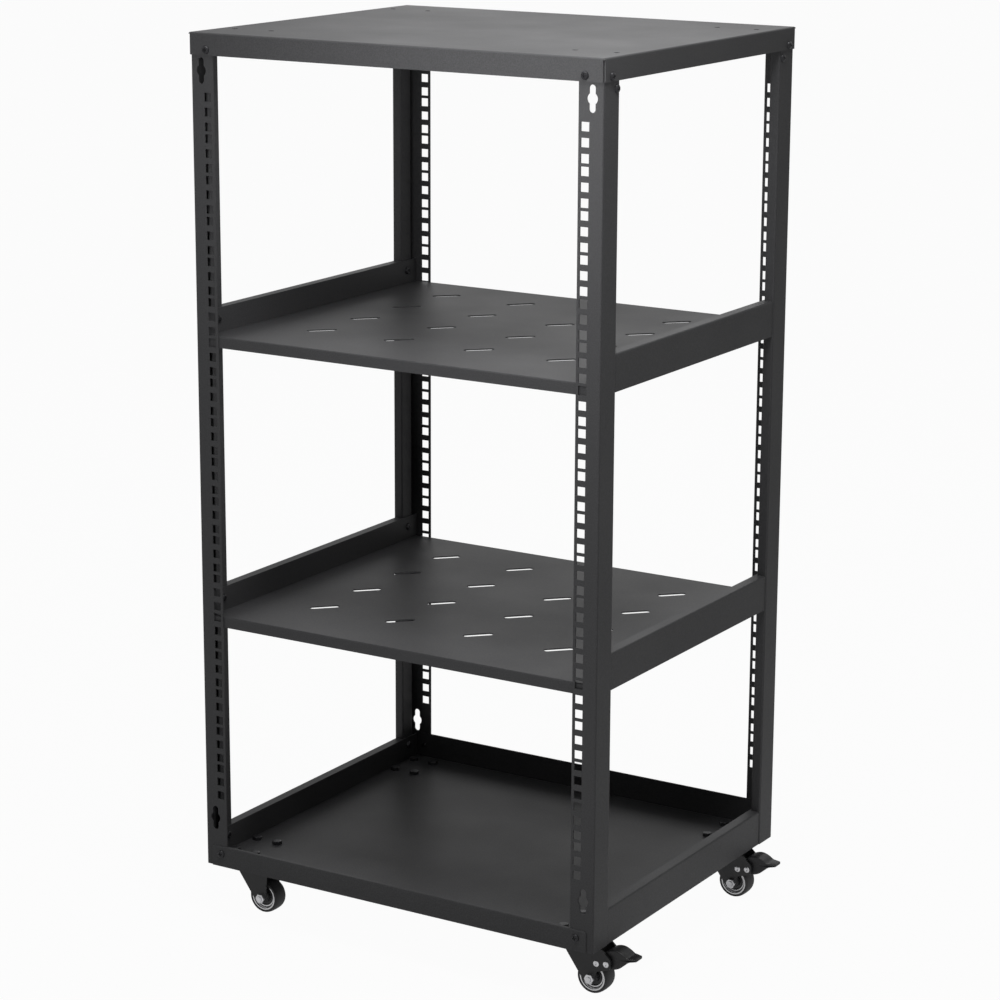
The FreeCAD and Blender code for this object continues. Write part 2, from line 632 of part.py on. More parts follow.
def make_screw():
    """Pan-head screw with its head's seat at the origin and its shank along -Z."""
    body = new_body("pan_screw")
    revolve(body, "XZ_Plane", "Z_Axis", (
        ("0", "-screw_length"),
        ("screw_diameter / 2", "-screw_length"),
        ("screw_diameter / 2", "0"),
        ("screw_head / 2", "0"),
        ("screw_head / 2", "screw_head_height - screw_head_bevel"),
        ("screw_head / 2 - screw_head_bevel", "screw_head_height"),
        ("0", "screw_head_height"),
    ))
    return body


def hexagon(sketch, width):
    far = f"{width} / sqrt(3)"
    half = f"{width} / sqrt(3) / 2"
    flat = f"{width} / 2"
    add_polygon(sketch, (
        (far, "0"),
        (half, flat),
        (f"-{half}", flat),
        (f"-{far}", "0"),
        (f"-{half}", f"-{flat}"),
        (half, f"-{flat}"),
    ))


def make_bolt():
    """Hexagon-head bolt with its head's seat at the origin and its shank along -Z."""
    body = new_body("hex_bolt")
    head = new_sketch(body, "XY_Plane")
    hexagon(head, "bolt_head")
    pad(body, head, "bolt_head_height")
    shank = new_sketch(body, "XY_Plane")
    add_circle(shank, "0", "0", "bolt_diameter")
    pad(body, shank, "sheet_thickness + plate_thickness + bolt_head_height + bolt_tail", back=True)
    return body


def make_nut():
    """Hexagon nut with its seat at the origin, below it."""
    body = new_body("hex_nut")
    outline = new_sketch(body, "XY_Plane")
    hexagon(outline, "bolt_head")
    add_circle(outline, "0", "0", BOLT_HOLE)
    pad(body, outline, "bolt_head_height", back=True)
    return body


def group(label, piece, spots):
    """Copies of one fastener in one piece of the model: each spot is a point and the way the head faces."""
    doc.recompute()
    copies = []
    for point, facing in spots:
        copy = piece.Shape.copy()
        copy.Placement = Placement(Vector(*point), Rotation(Vector(0, 0, 1), Vector(*facing)))
        copies.append(copy)
    feature = doc.addObject("Part::Feature", label)
    feature.Shape = Part.makeCompound(copies)
    return feature


def wall_spots(height):
    """Screws inside the side walls, facing the middle of the frame."""
    across = value("frame_width / 2 - lip_width - sheet_thickness")
    along = value("frame_depth / 2 - wall_screw_inset")
    up = value(height)
    return [((side * across, end * along, up), (-side, 0, 0)) for side in (-1, 1) for end in (-1, 1)]


def lid_spots():
    top = value(LID_TOP)
    rail = value("frame_width / 2 - hole_inset")
    face = value("frame_depth / 2 + sheet_thickness")
    side_face = value("frame_width / 2 + sheet_thickness")
    along = value("frame_depth / 2 - lid_side_screw_inset")
    spots = []
    for side in (-1, 1):
        for end in (-1, 1):
            spots.append(((side * rail, end * face, top - value("lid_front_screw_drop")), (0, end, 0)))
            spots.append(((side * side_face, end * along, top - value("lid_side_screw_drop")), (side, 0, 0)))
    return spots


def post_spots():
    side_face = value("frame_width / 2")
    along = value("frame_depth / 2 - post_screw_inset")
    height = value(f"{LID_TOP} - post_screw_drop")
    return [((side * side_face, end * along, height), (side, 0, 0)) for side in (-1, 1) for end in (-1, 1)]


def tray_end_spots():
    """Screws through the apron into the front posts, and through the rear posts into the tray's back."""
    front = value("frame_depth / 2 + sheet_thickness")
    rear = value("frame_depth / 2")
    low = value("tray_clearance + apron_screw_rise")
    high = value("tray_clearance + back_screw_rise")
    spots = []
    for side in (-1, 1):
        spots.append(((side * value("frame_width / 2 - hole_inset"), -front, low), (0, -1, 0)))
        spots.append(((side * value("frame_width / 2 - rear_hole_inset"), rear, high), (0, 1, 0)))
    return spots


def bolt_spots(height):
    spots = []
    for side in (-1, 1):
        for end in (-1, 1):
            for across in (-1, 1):
                for along in (-1, 1):
                    x = side * value(CASTER_X) + across * value("bolt_pitch_across / 2")
                    y = end * value(CASTER_Y) + along * value("bolt_pitch_along / 2")
                    spots.append(((x, y, value(height)), (0, 0, 1)))
    return spots


# Casters, each in a frame with its origin on the swivel axis at the tray floor's underside

def make_plate(label):
    body = new_body(label)
    outline = new_sketch(body, "XY_Plane")
    add_rectangle(outline, "-plate_width / 2", "-plate_length / 2", "plate_width / 2", "plate_length / 2")
    add_circle(outline, "0", "0", "kingpin_diameter + 2 * running_gap")
    for across in ("-", ""):
        for along in ("-", ""):
            add_circle(outline, f"{across}bolt_pitch_across / 2", f"{along}bolt_pitch_along / 2", BOLT_HOLE)
    plate = pad(body, outline, "plate_thickness", back=True)
    half_x, half_y = value("plate_width / 2"), value("plate_length / 2")
    corners = [(side * half_x, end * half_y) for side in (-1, 1) for end in (-1, 1)]
    round_edges(body, plate, "plate_corner", stands_at(corners))
    return body


def make_race(label):
    """Dished ring that carries the swivel's balls."""
    body = new_body(label)
    revolve(body, "XZ_Plane", "Z_Axis", (
        ("race_bore / 2", "-plate_thickness"),
        ("race_diameter / 2 - race_height / 2", "-plate_thickness"),
        ("race_diameter / 2", "-plate_thickness - race_height / 2"),
        ("race_diameter / 2", "-plate_thickness - race_height"),
        ("race_bore / 2", "-plate_thickness - race_height"),
    ))
    return body


def make_kingpin(label):
    body = new_body(label)
    under = f"-({CROWN_TOP} + fork_thickness + swivel_gap)"
    low = f"({under} - kingpin_head_height)"
    revolve(body, "XZ_Plane", "Z_Axis", (
        ("0", "0"),
        ("kingpin_diameter / 2", "0"),
        ("kingpin_diameter / 2", under),
        ("kingpin_head / 2", under),
        ("kingpin_head / 2", f"{low} + kingpin_bevel"),
        ("kingpin_head / 2 - kingpin_bevel", low),
        ("0", low),
    ))
    return body


def make_fork(label, braked):
    """Fork of bent sheet: a crown under the race and two arms that taper to the axle. A braked fork's arms
    have a lobe round the brake's pivot."""
    body = new_body(label)
    crown = f"(-{CROWN_TOP})"
    low = f"(-{AXLE_DROP} - arm_end / 2)"
    front = "(-arm_width / 2)"
    rear = "(caster_trail + arm_end / 2)"
    outline = [(front, crown), ("arm_width / 2", crown)]
    if braked:
        lobe = f"({PIVOT_X} + lobe_margin)"
        outline += [
            (lobe, f"-{PIVOT_DROP} + lobe_margin"),
            (lobe, f"-{PIVOT_DROP} - lobe_margin"),
            (rear, f"-{PIVOT_DROP} - 2 * lobe_margin"),
        ]
    else:
        outline.append((rear, f"{crown} - arm_shoulder"))
    outline += [
        (rear, low),
        ("caster_trail - arm_end / 2", low),
        (front, f"{crown} - arm_shoulder"),
    ]
    side = new_sketch(body, "XZ_Plane")
    add_polygon(side, outline)
    arms = pad(body, side, FORK_OUTSIDE, middle=True)
    bottom = value(low)
    ends = [(value(rear), bottom), (value("caster_trail - arm_end / 2"), bottom)]
    shoulder = (value(front), value(f"{crown} - arm_shoulder"))
    arms = round_edges(body, arms, "arm_end / 2 - swivel_gap", lies_at(1, ends))
    arms = round_edges(body, arms, "arm_round", lies_at(1, [shoulder]))
    if braked:
        drop = value(PIVOT_DROP)
        reach, margin = value(lobe), value("lobe_margin")
        corners = lies_at(1, [(reach, margin - drop), (reach, -margin - drop)])
        round_edges(body, arms, "lobe_margin - swivel_gap", corners)

    slot = new_sketch(body, "YZ_Plane")
    roof = f"{crown} - fork_thickness"
    add_rectangle(slot, f"-{FORK_INSIDE} / 2", f"{low} - fork_thickness", f"{FORK_INSIDE} / 2", roof)
    cut(body, slot, middle=True)
    disc = new_sketch(body, "XY_Plane", crown)
    add_circle(disc, "0", "0", "crown_diameter")
    pad(body, disc, "fork_thickness", back=True)
    hole = new_sketch(body, "XY_Plane", crown)
    add_circle(hole, "0", "0", "kingpin_diameter + 2 * running_gap")
    cut(body, hole, "2 * fork_thickness")
    pins = new_sketch(body, "XZ_Plane")
    add_circle(pins, "caster_trail", f"-{AXLE_DROP}", "axle_diameter + 2 * running_gap")
    if braked:
        pin_hole = "brake_pin + 2 * running_gap"
        add_circle(pins, PIVOT_X, f"-{PIVOT_DROP}", pin_hole)
        add_circle(pins, "caster_trail + rivet_reach", f"-{AXLE_DROP} + rivet_rise", pin_hole)
    cut(body, pins, middle=True)
    return body


def make_axle(label):
    """Axle bolt along Y with its head at the rear and room for a nut in front."""
    body = new_body(label)
    head = new_sketch(body, "XZ_Plane", f"-{FORK_OUTSIDE} / 2")
    hexagon(head, "bolt_head")
    pad(body, head, "bolt_head_height", back=True)
    shank = new_sketch(body, "XZ_Plane", f"-{FORK_OUTSIDE} / 2")
    add_circle(shank, "0", "0", "axle_diameter")
    pad(body, shank, f"{FORK_OUTSIDE} + bolt_head_height + axle_tail")
    return body


def make_axle_nut(label):
    body = new_body(label)
    outline = new_sketch(body, "XZ_Plane", f"{FORK_OUTSIDE} / 2")
    hexagon(outline, "bolt_head")
    add_circle(outline, "0", "0", "axle_diameter + 2 * running_gap")
    pad(body, outline, "bolt_head_height")
    return body


def make_rim(label):
    """Wheel centre: a hub on the axle, a web and a rim for the tyre."""
    body = new_body(label)
    bore = "axle_diameter / 2 + running_gap"
    hub = "hub_diameter / 2"
    outer = "(wheel_diameter / 2 - tyre_depth)"
    inner = f"({outer} - rim_depth)"
    half = (
        (bore, "hub_width / 2"),
        (hub, "hub_width / 2"),
        (hub, "web_width / 2"),
        (inner, "web_width / 2"),
        (inner, "rim_width / 2"),
        (outer, "rim_width / 2"),
    )
    other_half = tuple((radius, f"-{along}") for radius, along in reversed(half))
    revolve(body, "XY_Plane", "Y_Axis", half + other_half)
    return body


def make_tyre(label):
    body = new_body(label)
    outer = "wheel_diameter / 2"
    seat = "(wheel_diameter / 2 - tyre_depth)"
    edge = "wheel_width / 2"
    half = (
        (outer, f"({edge} - tyre_bevel)"),
        (f"{outer} - tyre_bevel", edge),
        (seat, edge),
    )
    other_half = tuple((radius, f"-{along}") for radius, along in reversed(half))
    revolve(body, "XY_Plane", "Y_Axis", half + other_half)
    return body


def make_brake_pin(label):
    """Rivet along Y through both arms, with a bevelled head at each end."""
    body = new_body(label)
    half = f"({FORK_OUTSIDE} / 2)"
    end = f"({half} + rivet_head_height)"
    one_end = (
        ("brake_pin / 2", half),
        ("rivet_head / 2", half),
        ("rivet_head / 2", f"({end} - rivet_bevel)"),
        ("rivet_head / 2 - rivet_bevel", end),
        ("0", end),
    )
    other_end = tuple((radius, f"-{along}") for radius, along in reversed(one_end))
    revolve(body, "XY_Plane", "Y_Axis", one_end + other_end)
    return body


def make_rivet():
    """Short rivet through one arm, its head's seat at the origin and its shank along -Z."""
    body = new_body("short_rivet")
    revolve(body, "XZ_Plane", "Z_Axis", (
        ("0", "-fork_thickness"),
        ("brake_pin / 2", "-fork_thickness"),
        ("brake_pin / 2", "0"),
        ("rivet_head / 2", "0"),
        ("rivet_head / 2", "rivet_head_height - rivet_bevel"),
        ("rivet_head / 2 - rivet_bevel", "rivet_head_height"),
        ("0", "rivet_head_height"),
    ))
    return body


def make_pedal(label):
    """Brake pedal about its pivot: a humped tongue out to a flat tip, and a nose over the tyre."""
    body = new_body(label)
    side = new_sketch(body, "XZ_Plane")
    under_tip = "(pedal_rise - pedal_tip)"
    add_polygon(side, (
        ("-brake_pin * 1.1", "0"),
        ("-brake_pin * 0.6", "-pedal_nose"),
        ("brake_pin * 0.5", "-pedal_nose"),
        ("pedal_reach * 0.42", "-pedal_nose / 3"),
        ("pedal_reach * 0.76", under_tip),
        ("pedal_reach", under_tip),
        ("pedal_reach", "pedal_rise"),
        ("pedal_reach * 0.74", "pedal_rise"),
        ("pedal_reach * 0.28", "pedal_hump"),
        ("-brake_pin * 0.9", "pedal_hump * 0.7"),
    ))
    tongue = pad(body, side, "pedal_width", middle=True)
    hump = (value("pedal_reach * 0.28"), value("pedal_hump"))
    bend = (value("pedal_reach * 0.74"), value("pedal_rise"))
    tongue = round_edges(body, tongue, "pedal_tip * 1.5", lies_at(1, [hump, bend]))
    tip = value("pedal_reach")
    ends = [(tip, value("pedal_rise")), (tip, value(under_tip))]
    round_edges(body, tongue, "pedal_tip * 0.45", lies_at(1, ends))
    bore = new_sketch(body, "XZ_Plane")
    add_circle(bore, "0", "0", "brake_pin + 2 * running_gap")
    cut(body, bore, middle=True)
    return body


CASTERS = (
    ("front_left", "-1", "-1", False),
    ("front_right", "1", "-1", True),
    ("rear_left", "-1", "1", False),
    ("rear_right", "1", "1", True),
)

nodes = []

for label, side, end, turn in POSTS:
    post = make_post(label, mirrored=turn in (90, 270), front=end == "-1")
    place(post, f"{side} * frame_width / 2", f"{end} * frame_depth / 2", POST_FOOT, turn)
    nodes.append(post)

nodes.append(make_lid())
nodes.append(make_shelf("upper_shelf", "upper_shelf_height"))
nodes.append(make_shelf("lower_shelf", "lower_shelf_height"))
nodes.append(make_tray())
nodes.append(make_apron())
nodes.append(make_back())

screw = make_screw()
nodes.append(group("top_panel_screws", screw, lid_spots() + post_spots()))
nodes.append(group("upper_shelf_screws", screw, wall_spots("upper_shelf_height + shelf_screw_rise")))
nodes.append(group("lower_shelf_screws", screw, wall_spots("lower_shelf_height + shelf_screw_rise")))
tray_wall_height = "tray_clearance + tray_floor_rise + tray_screw_rise"
nodes.append(group("tray_screws", screw, wall_spots(tray_wall_height) + tray_end_spots()))
nodes.append(group("caster_bolts", make_bolt(), bolt_spots("tray_clearance + tray_floor_rise")))
nodes.append(group("caster_nuts", make_nut(), bolt_spots(f"{MOUNT_HEIGHT} - plate_thickness")))

rivet = make_rivet()
for corner_name, side, end, braked in CASTERS:
    swivel = (f"{side} * {CASTER_X}", f"{end} * {CASTER_Y}", MOUNT_HEIGHT)
    axle = (f"{side} * {CASTER_X} + caster_trail", f"{end} * {CASTER_Y}", "wheel_diameter / 2")
    pieces = [
        (make_plate(f"{corner_name}_caster_plate"), swivel),
        (make_race(f"{corner_name}_swivel_race"), swivel),
        (make_kingpin(f"{corner_name}_kingpin"), swivel),
        (make_fork(f"{corner_name}_fork", braked), swivel),
        (make_axle(f"{corner_name}_axle"), axle),
        (make_axle_nut(f"{corner_name}_axle_nut"), axle),
        (make_rim(f"{corner_name}_wheel_rim"), axle),
        (make_tyre(f"{corner_name}_tyre"), axle),
    ]
    if braked:
        pivot = (f"{side} * {CASTER_X} + {PIVOT_X}", f"{end} * {CASTER_Y}", f"{MOUNT_HEIGHT} - {PIVOT_DROP}")
        pieces.append((make_pedal(f"{corner_name}_brake_pedal"), pivot))
        pieces.append((make_brake_pin(f"{corner_name}_brake_pin"), pivot))
        x = value(f"{axle[0]} + rivet_reach")
        y = value(axle[1])
        z = value("wheel_diameter / 2 + rivet_rise")
        half = value(f"{FORK_OUTSIDE} / 2")
        spots = [((x, y + facing * half, z), (0, facing, 0)) for facing in (-1, 1)]
        nodes.append(group(f"{corner_name}_brake_rivets", rivet, spots))
    for piece, spot in pieces:
        place(piece, *spot)
        nodes.append(piece)

doc.recompute()

# Nothing is written unless every object and every piece is sound.
for item in doc.Objects:
    if "Invalid" in item.State or "Error" in item.State:
        raise RuntimeError(f"{item.Name} of {item.Label} failed: {item.State}")
    if item.TypeId == "PartDesign::Pocket" and item.BaseFeature:
        if item.Shape.Volume > item.BaseFeature.Shape.Volume - 0.01:
            raise RuntimeError(f"{item.Name} cuts nothing")
for node in nodes:
    if node.Shape.isNull() or not node.Shape.isValid():
        raise RuntimeError(f"{node.Label} has no sound shape")

os.makedirs("parts", exist_ok=True)
for node in nodes:
    node.Shape.exportStep(f"parts/{node.Label}.step")
print(len(nodes), "pieces written")
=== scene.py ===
"""Finishes, fasteners, wheels, brake pedals and studio for an open-frame rolling equipment rack."""

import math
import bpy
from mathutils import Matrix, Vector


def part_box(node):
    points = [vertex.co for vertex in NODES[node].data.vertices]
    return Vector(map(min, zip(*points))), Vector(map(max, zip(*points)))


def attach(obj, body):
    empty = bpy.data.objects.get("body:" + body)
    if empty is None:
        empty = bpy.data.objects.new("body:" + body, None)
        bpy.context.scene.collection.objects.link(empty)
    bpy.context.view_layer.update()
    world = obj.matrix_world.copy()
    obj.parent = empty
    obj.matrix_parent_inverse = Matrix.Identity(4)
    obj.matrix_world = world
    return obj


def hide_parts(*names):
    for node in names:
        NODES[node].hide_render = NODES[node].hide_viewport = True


bl_info = {
    "name": "Rolling equipment rack",
    "version": (1, 0, 0),
    "blender": (4, 5, 0),
    "location": "View3D > Sidebar > Rack",
    "description": "Dresses an open-frame rolling equipment rack and sets up its studio",
    "category": "Object",
}

import bmesh
import bpy
import numpy as np
from bpy.props import FloatProperty, FloatVectorProperty, IntProperty, PointerProperty
from bpy.types import Operator, Panel, PropertyGroup
from mathutils import Euler, Vector

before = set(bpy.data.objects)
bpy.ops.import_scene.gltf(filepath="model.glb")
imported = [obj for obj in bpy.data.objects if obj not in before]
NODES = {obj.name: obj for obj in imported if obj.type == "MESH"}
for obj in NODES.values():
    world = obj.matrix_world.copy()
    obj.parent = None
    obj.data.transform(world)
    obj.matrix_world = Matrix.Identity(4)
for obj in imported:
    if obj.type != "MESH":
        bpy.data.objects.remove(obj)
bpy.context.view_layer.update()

CORNERS = ("front_left", "front_right", "rear_left", "rear_right")
BRAKED = ("front_right", "rear_right")
SHEET = (
    *(f"{corner}_post" for corner in CORNERS),
    "top_panel",
    "upper_shelf",
    "lower_shelf",
    "bottom_tray",
    "tray_apron",
    "tray_back",
)

TURN = 2.0 * math.pi
GOLDEN_ANGLE = 2.39996

# Points round a screw, bolt or nut, round a rivet and round a wheel
ROUND_STEPS = 48
RIVET_STEPS = 32
WHEEL_STEPS = 96

# Silver (1) and dark paint (0) on a wheel, at shares of its rim's radius
WHEEL_RINGS = ((0.0, 0), (0.64, 0), (0.66, 1), (0.76, 1), (0.78, 0), (0.82, 0), (0.84, 1))

# Half the side of the floor, the points along it, and how far it lies below the wheels
FLOOR_REACH = 40.0
FLOOR_POINTS = 13
FLOOR_DROP = 0.0002

# Each lamp's place, the point it looks at, its size, its power in watts, and whether glossy
# surfaces show it. The bounce lamps stand for the light that a white floor sends up.
LAMPS = {
    "top": ((0.15, -0.25, 2.4), (0.15, -0.25, 0.0), (1.6, 1.2), 24.6, True),
    "back": ((-0.8, 2.6, 1.7), (0.0, 0.0, 0.5), (2.2, 1.2), 6.6, True),
    "corner": ((0.42, -0.42, 1.45), (0.25, -0.2, 0.8), (0.25, 0.25), 3.5, False),
    "post": ((0.32, -0.5, 0.92), (0.2, -0.2, 0.9), (0.25, 0.25), 0.6, False),
    "front": ((0.05, -0.6, 1.0), (0.05, -0.2, 0.95), (0.3, 0.2), 1.5, False),
    "bounce": ((0.5, -1.2, 0.003), (0.5, -1.2, 1.0), (2.0, 1.6), 8.3, False),
    "rear_bounce": ((-0.7, 0.9, 0.003), (-0.7, 0.9, 1.0), (2.4, 2.2), 15.0, False),
}


def node_centre(node):
    """Middle of a solid's box."""
    low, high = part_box(node)
    return np.array((low + high) / 2.0)


def node_size(node):
    """Sides of a solid's box."""
    low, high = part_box(node)
    return np.array(high - low)


# Settings

def colour_property(name, description, default):
    """A colour, as linear red, green and blue."""
    return FloatVectorProperty(
        name=name,
        description=description,
        default=default,
        size=3,
        min=0.0,
        max=1.0,
        subtype="COLOR",
    )


def length_property(name, description, default):
    """A length in metres."""
    return FloatProperty(
        name=name, description=description, default=default, min=0.0, unit="LENGTH", precision=5
    )


def angle_property(name, description, default):
    """An angle in radians."""
    return FloatProperty(
        name=name, description=description, default=default, subtype="ANGLE", precision=4
    )


def number_property(name, description, default):
    """A share, strength or other plain number."""
    return FloatProperty(
        name=name, description=description, default=default, min=0.0, precision=3
    )


class RackFinishes(PropertyGroup):
    """Colours of the finishes, and the grain of the coat"""

    coat: colour_property("Coat", "Charcoal powder coat on all folded sheet", (0.050, 0.050, 0.052))
    coat_grain: length_property("Coat grain", "Size of a grain in the powder coat", 0.0011)
    coat_roughness: number_property("Coat roughness", "Mean roughness of the powder coat", 0.50)
    black_zinc: colour_property("Black zinc", "Blackened screws and bolts", (0.040, 0.040, 0.043))
    bright_zinc: colour_property("Bright zinc", "Plated axle nuts and rivets", (0.86, 0.86, 0.88))
    caster_black: colour_property(
        "Caster black", "Enamel on the casters' forks", (0.016, 0.016, 0.017)
    )
    wheel_silver: colour_property("Wheel silver", "Silver rings of the wheels", (0.88, 0.88, 0.89))
    wheel_web: colour_property(
        "Wheel web", "Dark paint inside and between the rings", (0.030, 0.030, 0.032)
    )
    tyre: colour_property("Tyre", "Black tyre rubber", (0.014, 0.014, 0.015))
    pedal: colour_property("Pedal", "Black nylon of the brake pedals", (0.010, 0.010, 0.011))


class RackFasteners(PropertyGroup):
    """Sizes and places of the screws, bolts and nuts"""

    head: length_property("Head", "Diameter of a pan screw's head", 0.009)
    head_height: length_property("Head height", "Height of a pan screw's head", 0.0026)
    shank: length_property("Shank", "Diameter of a pan screw's shank", 0.0048)
    length: length_property("Length", "Length of a pan screw under its head", 0.007)
    thread: length_property("Thread", "Pitch of a pan screw's thread", 0.0009)
    thread_depth: length_property("Thread depth", "Depth of a pan screw's thread", 0.0003)
    recess: length_property("Recess", "Depth of the cross in a screw's head", 0.0012)
    rail_inset: length_property("Rail inset", "Front rack hole column from a post's side", 0.02095)
    rear_rail_inset: length_property(
        "Rear rail inset", "Rear rack hole column from a post's side", 0.0255
    )
    lid_end_drop: length_property("Lid end drop", "End screws below the lid's top", 0.018)
    lid_side_drop: length_property("Lid side drop", "Side screws below the lid's top", 0.019)
    lid_side_inset: length_property("Lid side inset", "Side screws from a post's face", 0.014)
    post_drop: length_property("Post drop", "Post screws below the lid's top", 0.032)
    post_inset: length_property("Post inset", "Post screws from a post's face", 0.026)
    back_rise: length_property(
        "Back rise", "Screws of the tray's back above the apron's lower edge", 0.027
    )
    bolt_flats: length_property("Bolt flats", "Width over the flats of a hexagon", 0.010)
    bolt_height: length_property("Bolt height", "Height of a hexagon head or nut", 0.004)
    bolt_shank: length_property("Bolt shank", "Diameter of a caster bolt", 0.0058)
    bolt_length: length_property("Bolt length", "Length of a caster bolt under its head", 0.0086)
    bolt_across: length_property("Bolt across", "Caster bolts beside a plate's middle", 0.014)
    bolt_along: length_property(
        "Bolt along", "Caster bolts in front of and behind a plate's middle", 0.021
    )
    nut_slack: length_property("Nut slack", "Room in a caster nut round its bolt", 0.0002)
    axle_nut_bore: length_property("Axle nut bore", "Diameter of an axle nut's hole", 0.0061)


class RackCasters(PropertyGroup):
    """Sizes of the tyres, wheel centres, rivets and brake pedals"""

    tyre_fullness: number_property(
        "Tyre fullness", "Exponent of a tyre's section: 2 is an ellipse", 3.3
    )
    seam: length_property("Seam", "Height of the moulding line round a tyre", 0.00012)
    hub: length_property("Hub", "Radius of a wheel's hub", 0.0065)
    hub_bore: length_property("Hub bore", "Radius of the hole in a wheel's hub", 0.00305)
    web: length_property("Web", "Thickness of a wheel between hub and rim", 0.008)
    rim_width: length_property("Rim width", "Width of a wheel's rim", 0.0186)
    rim_lip: length_property("Rim lip", "Width of the bright lip round a wheel", 0.0020)
    rivet_head: length_property("Rivet head", "Radius of a rivet's head", 0.0035)
    rivet_shank: length_property("Rivet shank", "Radius of a rivet's shank", 0.0022)
    rivet_length: length_property("Rivet length", "Length of a rivet under its head", 0.0024)
    rivet_dome: length_property("Rivet dome", "Height of a rivet's dome", 0.0013)
    rivet_dimple: length_property("Rivet dimple", "Depth of the dimple in a rivet's dome", 0.0010)
    pedal_round: length_property("Pedal rounding", "Rounding of a pedal's edges", 0.0014)
    grip_ribs: IntProperty(
        name="Grip ribs", description="Ribs across a pedal's tip", default=3, min=0
    )


class RackStudio(PropertyGroup):
    """The floor, the world and the camera"""

    floor: colour_property("Floor", "Pale studio floor", (0.50, 0.50, 0.50))
    floor_glow: number_property(
        "Floor glow", "Share of white that the camera sees on the floor", 0.965
    )
    floor_shine: number_property(
        "Floor shine", "Share of white that glossy surfaces see on the floor", 0.37
    )
    world: number_property("World", "Strength of the even light from all round", 0.015)
    world_glow: number_property(
        "World glow", "Share of white that the camera sees all round", 0.969
    )
    world_shine: number_property(
        "World shine", "Share of white that glossy surfaces see all round", 0.49
    )
    azimuth: angle_property("Azimuth", "Camera's turn to the right of the front", 0.5498)
    elevation: angle_property("Elevation", "Camera's height as an angle", 0.2452)
    roll: angle_property("Roll", "Camera's lean", 0.0045)
    distance: length_property("Distance", "Camera to the point that it looks at", 3.3417)
    aim: FloatVectorProperty(
        name="Aim",
        description="Point that the camera looks at",
        default=(0.01334, -0.010, 0.48236),
        subtype="XYZ",
    )
    lens: number_property("Lens", "Focal length in millimetres on a 36 mm sensor", 107.65)


SETTINGS = {
    "finishes": RackFinishes,
    "fasteners": RackFasteners,
    "casters": RackCasters,
    "studio": RackStudio,
}


def settings(group):
    """The scene's own values of a group of settings."""
    return getattr(bpy.context.scene, f"rack_{group}")


# Surfaces

def surface(points, wrap_rows=False, wrap_columns=True):
    """A grid of points as one list, and the four-sided faces between points (i, j), (i + 1, j),
    (i + 1, j + 1) and (i, j + 1). Where it wraps, the last row or column joins the first."""
    rows, columns = points.shape[:2]
    i = np.arange(rows if wrap_rows else rows - 1)
    j = np.arange(columns if wrap_columns else columns - 1)
    i, j = np.meshgrid(i, j, indexing="ij")
    below = (i + 1) % rows
    right = (j + 1) % columns
    corners = (i * columns + j, below * columns + j, below * columns + right, i * columns + right)
    return points.reshape(-1, 3), np.stack(corners, -1).reshape(-1, 4)


def new_piece(name, points_and_quads, material, sharp=35.0):
    """One mesh object, with doubles merged and normals outwards. Edges that turn by more than the
    sharp angle, in degrees, stay crisp."""
    points, quads = points_and_quads
    mesh = bpy.data.meshes.new(name)
    mesh.from_pydata(points.tolist(), [], quads.tolist())
    body = bmesh.new()
    body.from_mesh(mesh)
    bmesh.ops.remove_doubles(body, verts=body.verts, dist=1e-6)
    bmesh.ops.dissolve_degenerate(body, dist=1e-7, edges=body.edges)
    bmesh.ops.recalc_face_normals(body, faces=body.faces)
    body.to_mesh(mesh)
    body.free()
    mesh.polygons.foreach_set("use_smooth", np.ones(len(mesh.polygons), bool))
    mesh.set_sharp_from_angle(angle=math.radians(sharp))
    mesh.materials.append(material)
    piece = bpy.data.objects.new(name, mesh)
    bpy.context.scene.collection.objects.link(piece)
    return piece


def dress(piece, body, node):
    """The piece rides on a body and stands for a solid of the frame."""
    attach(piece, body)
    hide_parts(node)


def round_angles(steps):
    """Angles spread evenly over a full turn."""
    return np.linspace(0.0, TURN, steps, endpoint=False)


def turned(radius, height, steps):
    """A profile carried round +Z: point (k, a) is (r_k cos a, r_k sin a, z_k), where r_k and z_k
    may also differ with the angle a."""
    angle = round_angles(steps)
    grid = (len(height), steps)
    radius, height = (
        np.broadcast_to(np.asarray(part, float).reshape(len(part), -1), grid)
        for part in (radius, height)
    )
    return np.stack((radius * np.cos(angle), radius * np.sin(angle), height), -1)


def facing_frames(spots):
    """For each spot, a point and the way its piece faces: an origin and three axes, the third along
    that way. Each is turned by the golden angle from the last, as fasteners stop where they are
    tight."""
    origins = np.array([spot for spot, way in spots], float)
    third = np.array([way for spot, way in spots], float)
    upright = np.abs(third[:, 2:3]) > 0.9
    helper = np.where(upright, (1.0, 0.0, 0.0), (0.0, 0.0, 1.0))
    first = np.cross(helper, third)
    second = np.cross(third, first)
    angle = (np.arange(len(spots)) * GOLDEN_ANGLE)[:, None]
    across = first * np.cos(angle) + second * np.sin(angle)
    up = second * np.cos(angle) - first * np.sin(angle)
    return origins, np.stack((across, up, third), 1)


def copies(points_and_quads, spots):
    """The same part at each spot: point p becomes origin + p_x first + p_y second + p_z third."""
    points, quads = points_and_quads
    origins, axes = facing_frames(spots)
    placed = origins[:, None, :] + np.einsum("nk,skc->snc", points, axes)
    step = (np.arange(len(spots)) * len(points))[:, None, None]
    return placed.reshape(-1, 3), (quads[None] + step).reshape(-1, 4)


